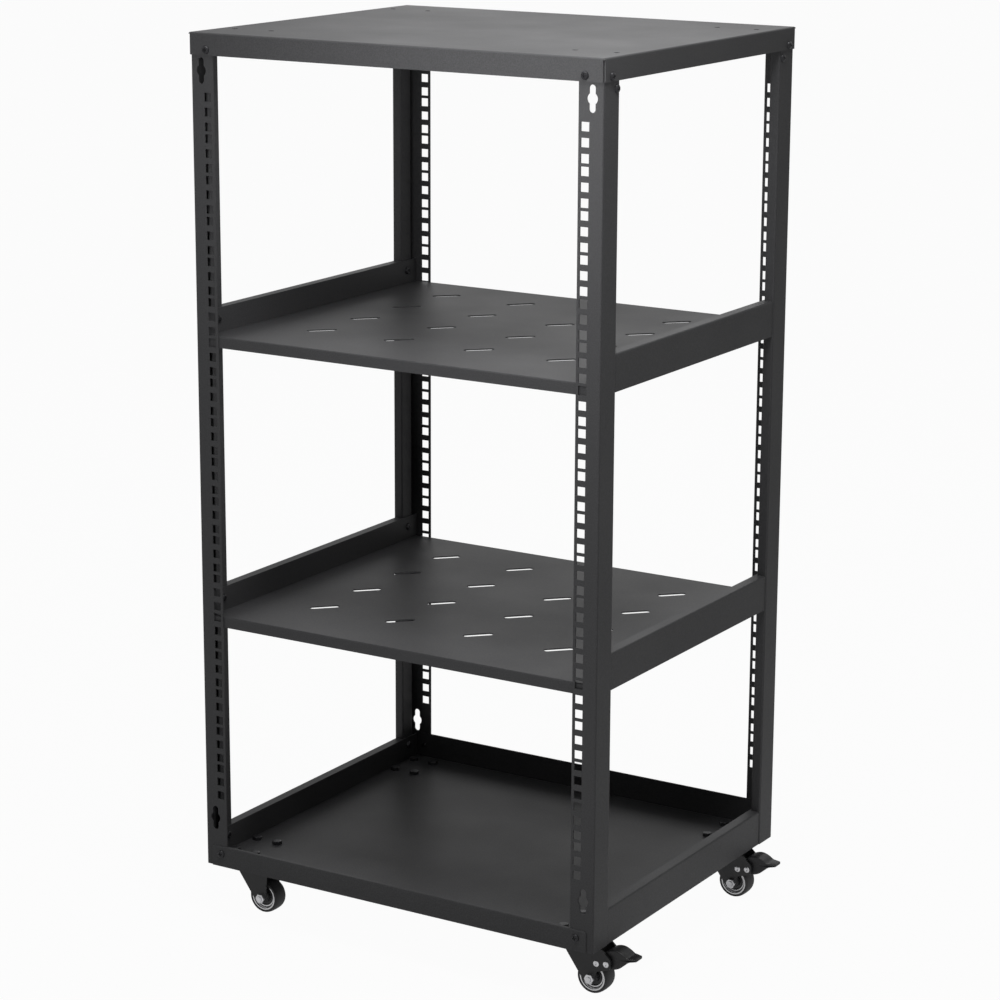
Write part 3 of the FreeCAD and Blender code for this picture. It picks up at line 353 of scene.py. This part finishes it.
def pan_screw(sizes):
    """Head z = h (1 - (r/R)^4)^0.6 with a cross sunk in it, and a shank whose radius follows a
    helix: r = d/2 - thread depth times the triangle wave of z/pitch + a/2pi."""
    head_rows, shank_rows = 22, 40
    angle = round_angles(ROUND_STEPS)
    share = np.linspace(0.0, 1.0, head_rows)[:, None]
    radius = np.broadcast_to(sizes.head / 2.0 * share, (head_rows, ROUND_STEPS))
    x = radius * np.cos(angle)
    y = radius * np.sin(angle)
    arm_width, arm_reach, arm_slope = 0.00052, 0.0024, 0.00025

    def arm(along, across):
        beside = np.clip((arm_width - np.abs(across)) / arm_slope, 0, 1)
        ahead = np.clip((arm_reach - np.abs(along)) / arm_slope, 0, 1)
        return beside * ahead

    cross = np.maximum(arm(x, y), arm(y, x))
    crown = sizes.head_height * (1.0 - share**4) ** 0.6 - sizes.recess * cross
    down = np.linspace(0.0, -sizes.length, shank_rows)[:, None]
    wave = np.abs(((down / sizes.thread + angle / TURN) % 1.0) * 2.0 - 1.0)
    shank = sizes.shank / 2.0 - sizes.thread_depth * wave
    end = np.zeros((1, ROUND_STEPS))
    radii = np.concatenate((radius, shank, end))
    heights = np.concatenate((crown, np.broadcast_to(down, shank.shape), end - sizes.length))
    return surface(turned(radii, heights, ROUND_STEPS))


def hexagon_reach(angle, flats):
    """Distance from the middle of a hexagon to its side in a direction: half the width over the
    flats, divided by the cosine of the angle to the nearest flat's middle."""
    return flats / 2.0 / np.cos((angle % (TURN / 6.0)) - TURN / 12.0)


def hexagon_piece(flats, height, bore, shank_length=0.0):
    """A hexagon whose corners are cut by a cone of 30 degrees. Its seat is at z = 0 and it rises to
    its height. A shank of the bore's size goes down from the seat, or else it has a hole."""
    crown_share, crown_middle = 0.475, 0.6
    shank_chamfer, hole_chamfer = 0.06, 0.05
    cone = math.radians(30.0)
    side = hexagon_reach(round_angles(ROUND_STEPS), flats)
    zero = np.zeros(ROUND_STEPS)
    full = zero + height
    crown = zero + flats * crown_share
    ring = zero + bore / 2.0
    shoulder = height - (side - crown) * math.tan(cone)
    if shank_length:
        low = zero - shank_length
        chamfer = bore * shank_chamfer
        profile = (
            (zero, full),
            (crown * crown_middle, full),
            (crown, full),
            (side, shoulder),
            (side, zero),
            (ring, zero),
            (ring, low + chamfer),
            (ring - chamfer, low),
            (zero, low),
        )
    else:
        chamfer = bore * hole_chamfer
        profile = (
            (ring, full - chamfer),
            (ring + chamfer, full),
            (crown, full),
            (side, shoulder),
            (side, zero),
            (ring + chamfer, zero),
            (ring, zero + chamfer),
        )
    profile = np.array(profile)
    points = turned(profile[:, 0], profile[:, 1], ROUND_STEPS)
    return surface(points, wrap_rows=not shank_length)


def rounded_profile(corners, radius, steps):
    """A closed profile with its corners rounded: each corner c becomes a quadratic curve from
    c + u r to c + v r, where u and v point along its two sides and r is under half of either."""
    corners = np.array(corners, float)
    before = np.roll(corners, 1, 0) - corners
    after = np.roll(corners, -1, 0) - corners
    length_before = np.linalg.norm(before, axis=1, keepdims=True)
    length_after = np.linalg.norm(after, axis=1, keepdims=True)
    room = 0.49 * np.minimum(length_before, length_after)
    cut = np.minimum(np.reshape(radius, (-1, 1)), room)
    start = (corners + before / length_before * cut)[:, None]
    end = (corners + after / length_after * cut)[:, None]
    t = np.linspace(0.0, 1.0, steps)[None, :, None]
    curve = (1 - t) ** 2 * start + 2 * t * (1 - t) * corners[:, None] + t**2 * end
    return curve.reshape(-1, 2)


def wheel_ring(profile, centre):
    """A closed profile of (radius, offset) carried round the axle, which runs along +Y through the
    centre."""
    ring = turned(profile[:, 0], profile[:, 1], WHEEL_STEPS)
    points = np.stack((ring[..., 0], ring[..., 2], ring[..., 1]), -1) + centre
    return surface(points, wrap_rows=True)


def tyre_profile(outer, seat, width, casters):
    """A round-shouldered tread |2y/w|^n + |(r - seat)/(outer - seat)|^n = 1, with a moulding line
    exp(-(y/s)^2) in its middle."""
    seam, seam_width = casters.seam, 0.0003
    power = 2.0 / casters.tyre_fullness
    angle = np.linspace(0.0, math.pi, 61)
    across = width / 2.0 * np.sign(np.cos(angle)) * np.abs(np.cos(angle)) ** power
    tread = (outer - seat - seam) * np.sin(angle) ** power
    radius = seat + tread + seam * np.exp(-((across / seam_width) ** 2))
    return np.stack((radius, across), -1)


def rim_profile(outer, hub_width, casters):
    """A hub, a thin web and a rim with a bright lip, a step and an inner bead on each face, as
    points at shares of the rim's radius and of half its width."""
    hub, lip = casters.hub, casters.rim_lip
    end, web, face = hub_width / 2.0, casters.web / 2.0, casters.rim_width / 2.0
    hub_chamfer, rounding = 0.0008, 0.0005
    half = (
        (casters.hub_bore, end),
        (hub * 0.86, end),
        (hub, end - hub_chamfer),
        (hub * 1.08, web),
        (outer * 0.64, web),
        (outer * 0.67, face * 0.68),
        (outer * 0.75, face * 0.72),
        (outer * 0.78, face * 0.60),
        (outer - 1.25 * lip, face * 0.64),
        (outer - lip, face),
        (outer, face),
    )
    mirrored = tuple((radius, -offset) for radius, offset in half[::-1])
    return rounded_profile(half + mirrored, rounding, steps=4)


def rivet(casters, length):
    """A cap z = h (1 - 0.92 (r/R)^2)^0.5 over the seat with a dimple d exp(-(r/0.38R)^4) in it, and
    its shank below."""
    head, shank = casters.rivet_head, casters.rivet_shank
    share = np.linspace(0.0, 1.0, 24)
    cap = casters.rivet_dome * np.sqrt(1.0 - 0.92 * share**2)
    dimple = casters.rivet_dimple * np.exp(-((share / 0.38) ** 4))
    radii = np.concatenate((head * share, (head, shank, shank, 0.0)))
    heights = np.concatenate((cap - dimple, (0.0, 0.0, -length, -length)))
    return surface(turned(radii, heights, RIVET_STEPS))


def rivet_pair(node, casters, length=None):
    """A rivet at each end of a node, facing outwards along Y. Where they have no length, their
    shanks meet in the middle."""
    x, y, z = node_centre(node)
    seat = node_size(node)[1] / 2.0 - casters.rivet_dome
    spots = [((x, y + way * seat, z), (0.0, way, 0.0)) for way in (-1.0, 1.0)]
    return copies(rivet(casters, length or seat), spots)


def pedal_outline():
    """Side view of a pedal about its pivot: nose, underside, flat tip and humped back. Each row is
    a corner and its rounding in millimetres, and the outline is in metres."""
    rows = np.array((
        (-4.7, -1.2, 2.0),
        (-2.6, -7.5, 1.6),
        (2.2, -7.5, 3.0),
        (13.5, -4.0, 4.0),
        (25.8, 6.6, 3.0),
        (33.9, 7.6, 1.6),
        (33.9, 10.8, 1.5),
        (23.6, 10.2, 2.6),
        (18.6, 13.8, 3.0),
        (11.0, 16.9, 4.0),
        (3.0, 15.9, 4.0),
        (-3.9, 11.9, 2.5),
    ))
    return rounded_profile(rows[:, :2], rows[:, 2], steps=7) / 1000.0


def pedal_body(pivot, width, casters):
    """The outline carried across the pedal's width, drawn in by a quarter circle near each side,
    with low ribs sin^2 on the tip's upper face. Seen from above, the tip narrows by
    (1 - (0.92 u)^4)^0.5, with u from 0 to 1 along it. Each side is a shallow dish."""
    grip_start, grip_length, grip_level = 0.0262, 0.0066, 0.0098
    rib_height, rib_seat = 0.00045, 0.0004
    tip_start, tip_length = 0.020, 0.0139
    dish, dish_share = 0.0012, 0.65

    outline = pedal_outline()
    tangent = np.roll(outline, -1, 0) - np.roll(outline, 1, 0)
    tangent /= np.linalg.norm(tangent, axis=1, keepdims=True)
    inward = np.stack((-tangent[:, 1], tangent[:, 0]), -1)
    quarter = np.linspace(0.0, math.pi / 2.0, 6)
    rounding = casters.pedal_round
    edge = width / 2.0 - rounding + rounding * np.sin(quarter)
    draw = rounding * (1.0 - np.cos(quarter))
    flat = np.linspace(-1, 1, 9)[1:-1] * edge[0]
    across = np.concatenate((-edge[::-1], flat, edge))
    inset = np.concatenate((draw[::-1], np.zeros(len(flat)), draw))
    section = outline[None] + inward[None] * inset[:, None, None]

    along, up = section[..., 0], section[..., 1]
    grip = (along - grip_start) / grip_length
    on_grip = (grip > 0) & (grip < 1) & (up > grip_level)
    ribs = rib_height * np.sin(np.clip(grip, 0, 1) * math.pi * casters.grip_ribs) ** 2 - rib_seat
    tip = np.clip((along - tip_start) / tip_length, 0.0, 1.0)
    narrowed = across[:, None] * np.sqrt(1.0 - (0.92 * tip) ** 4)
    points = np.stack((along, narrowed, up + np.where(on_grip, ribs, 0.0)), -1)

    middle = outline.mean(0)
    sides = []
    for row, sunk in ((0, dish), (-1, -dish)):
        cap = np.tile((middle[0], across[row], middle[1]), (len(outline), 1))
        ring = points[row] * (1.0 - dish_share) + cap * dish_share
        sides.append(np.stack((cap, ring)) + (0.0, sunk, 0.0))
    return surface(np.concatenate((sides[0], points, sides[1][::-1])) + pivot)


# Finishes

class Finish:
    """A node material under construction: one principled shader, read from Object coordinates."""

    def __init__(self, name, **sockets):
        self.material = bpy.data.materials.new(name)
        self.material.use_nodes = True
        self.tree = self.material.node_tree
        self.shader = self.tree.nodes["Principled BSDF"]
        for socket, number in sockets.items():
            self.shader.inputs[socket.replace("_", " ")].default_value = number
        self.place = self.add("ShaderNodeTexCoord").outputs["Object"]

    def add(self, kind, **fields):
        """A new node with its fields set."""
        node = self.tree.nodes.new(kind)
        for field, number in fields.items():
            setattr(node, field, number)
        return node

    def link(self, source, target):
        """One socket joined to another."""
        self.tree.links.new(source, target)

    def feed(self, socket, source):
        """A socket of the shader joined to a source."""
        self.link(source, self.shader.inputs[socket])

    def noise(self, scale, detail, stretch=None):
        """A cloudy factor with so many clouds to the metre, which may be stretched into lines."""
        place = self.place
        if stretch:
            mapping = self.add("ShaderNodeMapping")
            mapping.inputs["Scale"].default_value = stretch
            self.link(place, mapping.inputs["Vector"])
            place = mapping.outputs["Vector"]
        node = self.add("ShaderNodeTexNoise")
        node.inputs["Scale"].default_value = scale
        node.inputs["Detail"].default_value = detail
        self.link(place, node.inputs["Vector"])
        return node.outputs["Fac"]

    def ramp(self, factor, *stops):
        """Colours that follow stops of (factor, colour)."""
        node = self.add("ShaderNodeValToRGB")
        elements = node.color_ramp.elements
        while len(elements) < len(stops):
            elements.new(1.0)
        for element, (position, colour) in zip(elements, stops):
            element.position = position
            element.color = (*colour, 1.0)
        self.link(factor, node.inputs["Fac"])
        return node.outputs["Color"]

    def span(self, factor, low, high):
        """A factor of 0.3 to 0.7 carried to a range of numbers."""
        node = self.add("ShaderNodeMapRange")
        numbers = {"From Min": 0.3, "From Max": 0.7, "To Min": low, "To Max": high}
        for socket, number in numbers.items():
            node.inputs[socket].default_value = number
        self.link(factor, node.inputs["Value"])
        return node.outputs["Result"]

    def bump(self, factor, strength, depth):
        """A factor as the height of fine relief."""
        node = self.add("ShaderNodeBump")
        node.inputs["Strength"].default_value = strength
        node.inputs["Distance"].default_value = depth
        self.link(factor, node.inputs["Height"])
        self.feed("Normal", node.outputs["Normal"])


def shade(colour, factor):
    """A colour made darker or lighter."""
    return tuple(min(1.0, part * factor) for part in colour)


def powder_coat(finishes):
    """Fine-grained satin coat: grain lightens and lifts it, and broad clouds vary its sheen."""
    finish = Finish("powder_coat", Specular_IOR_Level=0.3)
    grain = finish.noise(scale=1.0 / finishes.coat_grain, detail=2.0)
    cloud = finish.noise(scale=7.0, detail=4.0)
    dark, light = shade(finishes.coat, 0.82), shade(finishes.coat, 1.22)
    finish.feed("Base Color", finish.ramp(grain, (0.32, dark), (0.68, light)))
    rough = finishes.coat_roughness
    finish.feed("Roughness", finish.span(cloud, rough - 0.04, rough + 0.04))
    finish.bump(grain, strength=0.22, depth=0.00012)
    return finish.material


def plated(name, colour, roughness, brushed, metallic=1.0):
    """Plated metal with fine drawn lines and faint cloudy staining."""
    finish = Finish(name, Metallic=metallic)
    cloud = finish.noise(scale=160.0, detail=3.0)
    lines = finish.noise(scale=900.0, detail=2.0, stretch=brushed)
    dark, light = shade(colour, 0.84), shade(colour, 1.08)
    finish.feed("Base Color", finish.ramp(cloud, (0.3, dark), (0.7, light)))
    finish.feed("Roughness", finish.span(lines, roughness - 0.08, roughness + 0.10))
    finish.bump(lines, strength=0.12, depth=0.00005)
    return finish.material


def enamel(name, colour, roughness, grain):
    """Paint, rubber or moulded nylon: a mottled colour, uneven gloss and a fine skin."""
    finish = Finish(name)
    skin = finish.noise(scale=1.0 / grain, detail=2.0)
    cloud = finish.noise(scale=60.0, detail=4.0)
    dark, light = shade(colour, 0.75), shade(colour, 1.35)
    finish.feed("Base Color", finish.ramp(cloud, (0.3, dark), (0.7, light)))
    finish.feed("Roughness", finish.span(cloud, roughness - 0.07, roughness + 0.07))
    finish.bump(skin, strength=0.2, depth=0.00006)
    return finish.material


def ringed_wheel(name, finishes, centre, radius):
    """Two silver rings on dark paint, placed by the distance from an axle that runs along Y through
    the centre."""
    finish = Finish(name)
    offset = finish.add("ShaderNodeVectorMath", operation="SUBTRACT")
    offset.inputs[1].default_value = centre
    finish.link(finish.place, offset.inputs[0])
    flat = finish.add("ShaderNodeVectorMath", operation="MULTIPLY")
    flat.inputs[1].default_value = (1.0 / radius, 0.0, 1.0 / radius)
    finish.link(offset.outputs["Vector"], flat.inputs[0])
    length = finish.add("ShaderNodeVectorMath", operation="LENGTH")
    finish.link(flat.outputs["Vector"], length.inputs[0])
    stops = [(share, (level, level, level)) for share, level in WHEEL_RINGS]
    rings = finish.ramp(length.outputs["Value"], *stops)
    paint = finish.ramp(rings, (0.0, finishes.wheel_web), (1.0, finishes.wheel_silver))
    finish.feed("Base Color", paint)
    finish.feed("Metallic", rings)
    cloud = finish.noise(scale=400.0, detail=2.0)
    finish.feed("Roughness", finish.span(cloud, 0.18, 0.30))
    return finish.material


def coat_node(node, material):
    """Give a solid of the frame its finish in place of the plain one."""
    slots = NODES[node].material_slots
    for slot in slots:
        slot.material = material
    if not slots:
        NODES[node].data.materials.append(material)


# Operators

class RACK_OT_coat_sheet(Operator):
    """Powder coat the posts, top panel, shelves and tray"""

    bl_idname = "rack.coat_sheet"
    bl_label = "Coat folded sheet"

    def execute(self, context):
        material = powder_coat(settings("finishes"))
        for node in SHEET:
            coat_node(node, material)
        return {"FINISHED"}


def mirrored_spots(across, along, height, way):
    """The same spot at each of four corners, facing along X (way 1 outwards, -1 inwards)."""
    return [
        ((side * across, end * along, height), (way * side, 0, 0))
        for side in (-1, 1)
        for end in (-1, 1)
    ]


def lid_screw_spots(sizes):
    """Where the top panel's screws sit: on its front and rear skirts, on its side skirts and on the
    posts' sides."""
    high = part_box("top_panel")[1]
    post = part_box("rear_right_post")[1]
    column = post.x - sizes.rail_inset
    spots = [
        ((side * column, end * high.y, high.z - sizes.lid_end_drop), (0, end, 0))
        for side in (-1, 1)
        for end in (-1, 1)
    ]
    side_y, side_z = post.y - sizes.lid_side_inset, high.z - sizes.lid_side_drop
    post_y, post_z = post.y - sizes.post_inset, high.z - sizes.post_drop
    spots += mirrored_spots(high.x, side_y, side_z, way=1)
    spots += mirrored_spots(post.x, post_y, post_z, way=1)
    return spots


def wall_screw_spots(group, sizes):
    """Where a shelf's screws sit: inside its side walls, near their ends."""
    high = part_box(group)[1]
    half = sizes.head / 2.0
    return mirrored_spots(high.x - sizes.length, high.y - half, high.z - half, way=-1)


def tray_screw_spots(sizes):
    """Where the tray's screws sit: inside its side walls, on its apron and on the rear posts behind
    its back."""
    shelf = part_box("upper_shelf_screws")[1]
    low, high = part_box("tray_screws")
    apron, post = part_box("tray_apron")[0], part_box("rear_right_post")[1]
    half = sizes.head / 2.0
    front_x, rear_x = post.x - sizes.rail_inset, post.x - sizes.rear_rail_inset
    spots = mirrored_spots(shelf.x - sizes.length, shelf.y - half, high.z - half, way=-1)
    for side in (-1, 1):
        spots.append(((side * front_x, apron.y, low.z + half), (0, -1, 0)))
        spots.append(((side * rear_x, post.y, apron.z + sizes.back_rise), (0, 1, 0)))
    return spots


class RACK_OT_drive_screws(Operator):
    """Make the pan-head screws that hold the top panel, shelves and tray"""

    bl_idname = "rack.drive_screws"
    bl_label = "Drive pan screws"

    def execute(self, context):
        colour = settings("finishes").black_zinc
        black = plated("black_zinc", colour, roughness=0.26, brushed=(1.0, 1.0, 6.0), metallic=0.6)
        sizes = settings("fasteners")
        screw = pan_screw(sizes)
        groups = {
            "top_panel_screws": lid_screw_spots(sizes),
            "upper_shelf_screws": wall_screw_spots("upper_shelf_screws", sizes),
            "lower_shelf_screws": wall_screw_spots("lower_shelf_screws", sizes),
            "tray_screws": tray_screw_spots(sizes),
        }
        for node, spots in groups.items():
            piece = new_piece(f"{node}_cross_recess", copies(screw, spots), black)
            dress(piece, "frame", node)
        return {"FINISHED"}


class RACK_OT_bolt_casters(Operator):
    """Make the hexagon bolts and nuts that hold the casters' plates under the tray"""

    bl_idname = "rack.bolt_casters"
    bl_label = "Bolt casters"

    def execute(self, context):
        finishes, sizes = settings("finishes"), settings("fasteners")
        along_z = (1.0, 1.0, 8.0)
        black = plated(
            "black_bolt", finishes.black_zinc, roughness=0.38, brushed=along_z, metallic=0.4
        )
        zinc = plated("bright_nut", finishes.bright_zinc, roughness=0.34, brushed=along_z)
        flats, height, shank = sizes.bolt_flats, sizes.bolt_height, sizes.bolt_shank
        bolt = hexagon_piece(flats, height, shank, sizes.bolt_length)
        nut = hexagon_piece(flats, height, shank + sizes.nut_slack)
        plates = [node_centre(f"{corner}_caster_plate") for corner in CORNERS]
        places = [
            (plate[0] + side * sizes.bolt_across, plate[1] + end * sizes.bolt_along)
            for plate in plates
            for side in (-1, 1)
            for end in (-1, 1)
        ]
        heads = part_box("caster_bolts")[1].z - height
        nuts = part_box("caster_nuts")[0].z
        for part, seat, material, node, slot in (
            (bolt, heads, black, "caster_bolts", "black_hardware"),
            (nut, nuts, zinc, "caster_nuts", "zinc_hardware"),
        ):
            spots = [((x, y, seat), (0.0, 0.0, 1.0)) for x, y in places]
            piece = new_piece(f"{node}_chamfered", copies(part, spots), material)
            dress(piece, "frame", node)
        return {"FINISHED"}


class RACK_OT_finish_casters(Operator):
    """Finish the casters' plates, races, kingpins, forks and axles"""

    bl_idname = "rack.finish_casters"
    bl_label = "Finish casters"

    def execute(self, context):
        finishes = settings("finishes")
        black = enamel("caster_enamel", finishes.caster_black, roughness=0.38, grain=0.0009)
        zinc = plated(
            "bright_zinc", finishes.bright_zinc, roughness=0.24, brushed=(1.0, 8.0, 1.0)
        )
        for corner in CORNERS:
            for part in ("caster_plate", "swivel_race", "fork"):
                coat_node(f"{corner}_{part}", black)
            for part in ("kingpin", "axle"):
                coat_node(f"{corner}_{part}", zinc)
        return {"FINISHED"}


class RACK_OT_make_wheels(Operator):
    """Make the tyres, wheel centres and axle nuts"""

    bl_idname = "rack.make_wheels"
    bl_label = "Make wheels"

    def execute(self, context):
        finishes, sizes = settings("finishes"), settings("fasteners")
        rubber = enamel("tyre_rubber", finishes.tyre, roughness=0.55, grain=0.0007)
        zinc = plated(
            "axle_nut_zinc", finishes.bright_zinc, roughness=0.20, brushed=(1.0, 8.0, 1.0)
        )
        nut = hexagon_piece(sizes.bolt_flats, sizes.bolt_height, sizes.axle_nut_bore)
        for corner in CORNERS:
            self.make_wheel(corner, rubber)
            self.make_nut(corner, nut, zinc)
        return {"FINISHED"}

    def make_wheel(self, corner, rubber):
        """A tyre and the wheel centre that it sits on."""
        casters = settings("casters")
        tyre, rim = f"{corner}_tyre", f"{corner}_wheel_rim"
        outer, width = node_size(tyre)[0] / 2.0, node_size(tyre)[1]
        seat, hub_width = node_size(rim)[0] / 2.0, node_size(rim)[1]
        tread = wheel_ring(tyre_profile(outer, seat, width, casters), node_centre(tyre))
        piece = new_piece(f"{tyre}_rounded", tread, rubber, sharp=50.0)
        dress(piece, f"{corner}_wheel", tyre)
        silver = ringed_wheel(f"{rim}_silver", settings("finishes"), node_centre(rim), seat)
        centre = wheel_ring(rim_profile(seat, hub_width, casters), node_centre(rim))
        piece = new_piece(f"{rim}_beaded", centre, silver, sharp=50.0)
        dress(piece, f"{corner}_wheel", rim)

    def make_nut(self, corner, nut, zinc):
        """The nut on an axle's front end, which faces forwards."""
        node = f"{corner}_axle_nut"
        x, _, z = node_centre(node)
        spots = [((x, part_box(node)[1].y, z), (0.0, -1.0, 0.0))]
        piece = new_piece(f"{node}_chamfered", copies(nut, spots), zinc)
        dress(piece, f"{corner}_caster", node)


class RACK_OT_make_brakes(Operator):
    """Make the brake pedals, their pivot pins and the rivets beside them"""

    bl_idname = "rack.make_brakes"
    bl_label = "Make brakes"

    def execute(self, context):
        finishes, casters = settings("finishes"), settings("casters")
        nylon = enamel("pedal_nylon", finishes.pedal, roughness=0.42, grain=0.0006)
        zinc = plated(
            "rivet_zinc", finishes.bright_zinc, roughness=0.20, brushed=(1.0, 8.0, 1.0)
        )
        for corner in BRAKED:
            pin, rivets, pedal = (f"{corner}_brake_{part}" for part in ("pin", "rivets", "pedal"))
            body = pedal_body(node_centre(pin), node_size(pedal)[1], casters)
            piece = new_piece(f"{pedal}_moulded", body, nylon, sharp=40.0)
            dress(piece, f"{corner}_brake", pedal)
            for node, length in ((pin, None), (rivets, casters.rivet_length)):
                pair = rivet_pair(node, casters, length)
                piece = new_piece(f"{node}_domed", pair, zinc, sharp=40.0)
                dress(piece, f"{corner}_caster", node)
        return {"FINISHED"}


def soft_lamp(name, place, aim, size, power, glare):
    """A rectangular lamp that looks at a point. Without glare, glossy reflections leave it out."""
    data = bpy.data.lights.new(name, "AREA")
    data.shape = "RECTANGLE"
    data.size, data.size_y = size
    data.energy = power
    lamp = bpy.data.objects.new(name, data)
    lamp.location = place
    lamp.rotation_euler = (Vector(aim) - Vector(place)).to_track_quat("-Z", "Y").to_euler()
    lamp.visible_glossy = glare
    bpy.context.scene.collection.objects.link(lamp)


def ray_shares(tree, camera, glossy):
    """A share for rays from the camera and a share for rays that a glossy surface sends on, and 0
    for all others."""
    path = tree.nodes.new("ShaderNodeLightPath")
    first = tree.nodes.new("ShaderNodeMath")
    first.operation = "MULTIPLY"
    first.inputs[1].default_value = camera
    tree.links.new(path.outputs["Is Camera Ray"], first.inputs[0])
    second = tree.nodes.new("ShaderNodeMath")
    second.operation = "MULTIPLY_ADD"
    second.inputs[1].default_value = glossy
    tree.links.new(path.outputs["Is Glossy Ray"], second.inputs[0])
    tree.links.new(first.outputs[0], second.inputs[2])
    return second.outputs[0]


class RACK_OT_set_studio(Operator):
    """Set the pale floor, the soft lamps, the world and the camera"""

    bl_idname = "rack.set_studio"
    bl_label = "Set studio"

    def execute(self, context):
        studio = settings("studio")
        scene = context.scene
        scene.view_settings.view_transform = "Standard"
        self.lay_floor(studio)
        self.light_world(scene, studio)
        for name, lamp in LAMPS.items():
            soft_lamp(name, *lamp)
        self.aim_camera(scene, studio)
        return {"FINISHED"}

    def lay_floor(self, studio):
        """A flat square whose own light, for the camera, is nearly that of the white ground."""
        edge = np.linspace(-FLOOR_REACH, FLOOR_REACH, FLOOR_POINTS)
        x, y = np.meshgrid(edge, edge, indexing="ij")
        points = np.stack((x, y, np.full_like(x, -FLOOR_DROP)), -1)
        material = bpy.data.materials.new("studio_floor")
        material.use_nodes = True
        tree = material.node_tree
        shader = tree.nodes["Principled BSDF"]
        shader.inputs["Base Color"].default_value = (*studio.floor, 1.0)
        shader.inputs["Roughness"].default_value = 0.9
        shader.inputs["Specular IOR Level"].default_value = 0.1
        glow = tree.nodes.new("ShaderNodeEmission")
        glow.inputs["Strength"].default_value = 1.0
        mix = tree.nodes.new("ShaderNodeMixShader")
        shares = ray_shares(tree, studio.floor_glow, studio.floor_shine)
        tree.links.new(shares, mix.inputs["Fac"])
        tree.links.new(shader.outputs["BSDF"], mix.inputs[1])
        tree.links.new(glow.outputs["Emission"], mix.inputs[2])
        tree.links.new(mix.outputs["Shader"], tree.nodes["Material Output"].inputs["Surface"])
        floor = new_piece("studio_floor", surface(points, wrap_columns=False), material)

    def light_world(self, scene, studio):
        """A white ground for the camera, a softer one for glossy rays and hardly any for the
        rest."""
        world = bpy.data.worlds.new("studio")
        scene.world = world
        world.use_nodes = True
        tree = world.node_tree
        dim = tree.nodes["Background"]
        dim.inputs["Color"].default_value = (1.0, 1.0, 1.0, 1.0)
        dim.inputs["Strength"].default_value = studio.world
        white = tree.nodes.new("ShaderNodeBackground")
        white.inputs["Color"].default_value = (1.0, 1.0, 1.0, 1.0)
        white.inputs["Strength"].default_value = 1.0
        mix = tree.nodes.new("ShaderNodeMixShader")
        shares = ray_shares(tree, studio.world_glow, studio.world_shine)
        tree.links.new(shares, mix.inputs["Fac"])
        tree.links.new(dim.outputs["Background"], mix.inputs[1])
        tree.links.new(white.outputs["Background"], mix.inputs[2])
        tree.links.new(mix.outputs["Shader"], tree.nodes["World Output"].inputs["Surface"])

    def aim_camera(self, scene, studio):
        """A camera on a sphere round the point that it looks at."""
        data = bpy.data.cameras.new("camera")
        data.sensor_width = 36.0
        data.lens = studio.lens
        data.clip_end = 60.0
        camera = bpy.data.objects.new("camera", data)
        azimuth, elevation = studio.azimuth, studio.elevation
        flat = math.cos(elevation)
        way = Vector((math.sin(azimuth) * flat, -math.cos(azimuth) * flat, math.sin(elevation)))
        camera.location = Vector(studio.aim) + way * studio.distance
        turn = (-way).to_track_quat("-Z", "Y").to_matrix()
        lean = Euler((0.0, 0.0, studio.roll)).to_matrix()
        camera.rotation_euler = (turn @ lean).to_euler()
        scene.collection.objects.link(camera)
        scene.camera = camera


OPERATORS = (
    RACK_OT_coat_sheet,
    RACK_OT_drive_screws,
    RACK_OT_bolt_casters,
    RACK_OT_finish_casters,
    RACK_OT_make_wheels,
    RACK_OT_make_brakes,
    RACK_OT_set_studio,
)


class RACK_PT_sidebar(Panel):
    """The rack's settings and steps"""

    bl_idname = "RACK_PT_sidebar"
    bl_label = "Rolling rack"
    bl_space_type = "VIEW_3D"
    bl_region_type = "UI"
    bl_category = "Rack"

    def draw(self, context):
        for group, kind in SETTINGS.items():
            box = self.layout.box()
            box.label(text=group.capitalize())
            for name in kind.__annotations__:
                box.prop(settings(group), name)
        for operator in OPERATORS:
            self.layout.operator(operator.bl_idname)


CLASSES = (*SETTINGS.values(), *OPERATORS, RACK_PT_sidebar)


def register():
    for kind in CLASSES:
        bpy.utils.register_class(kind)
    for group, kind in SETTINGS.items():
        setattr(bpy.types.Scene, f"rack_{group}", PointerProperty(type=kind))


def unregister():
    for group in SETTINGS:
        delattr(bpy.types.Scene, f"rack_{group}")
    for kind in reversed(CLASSES):
        bpy.utils.unregister_class(kind)


def main():
    register()
    for operator in OPERATORS:
        family, name = operator.bl_idname.split(".")
        getattr(getattr(bpy.ops, family), name)()


if __name__ == "__main__":
    main()
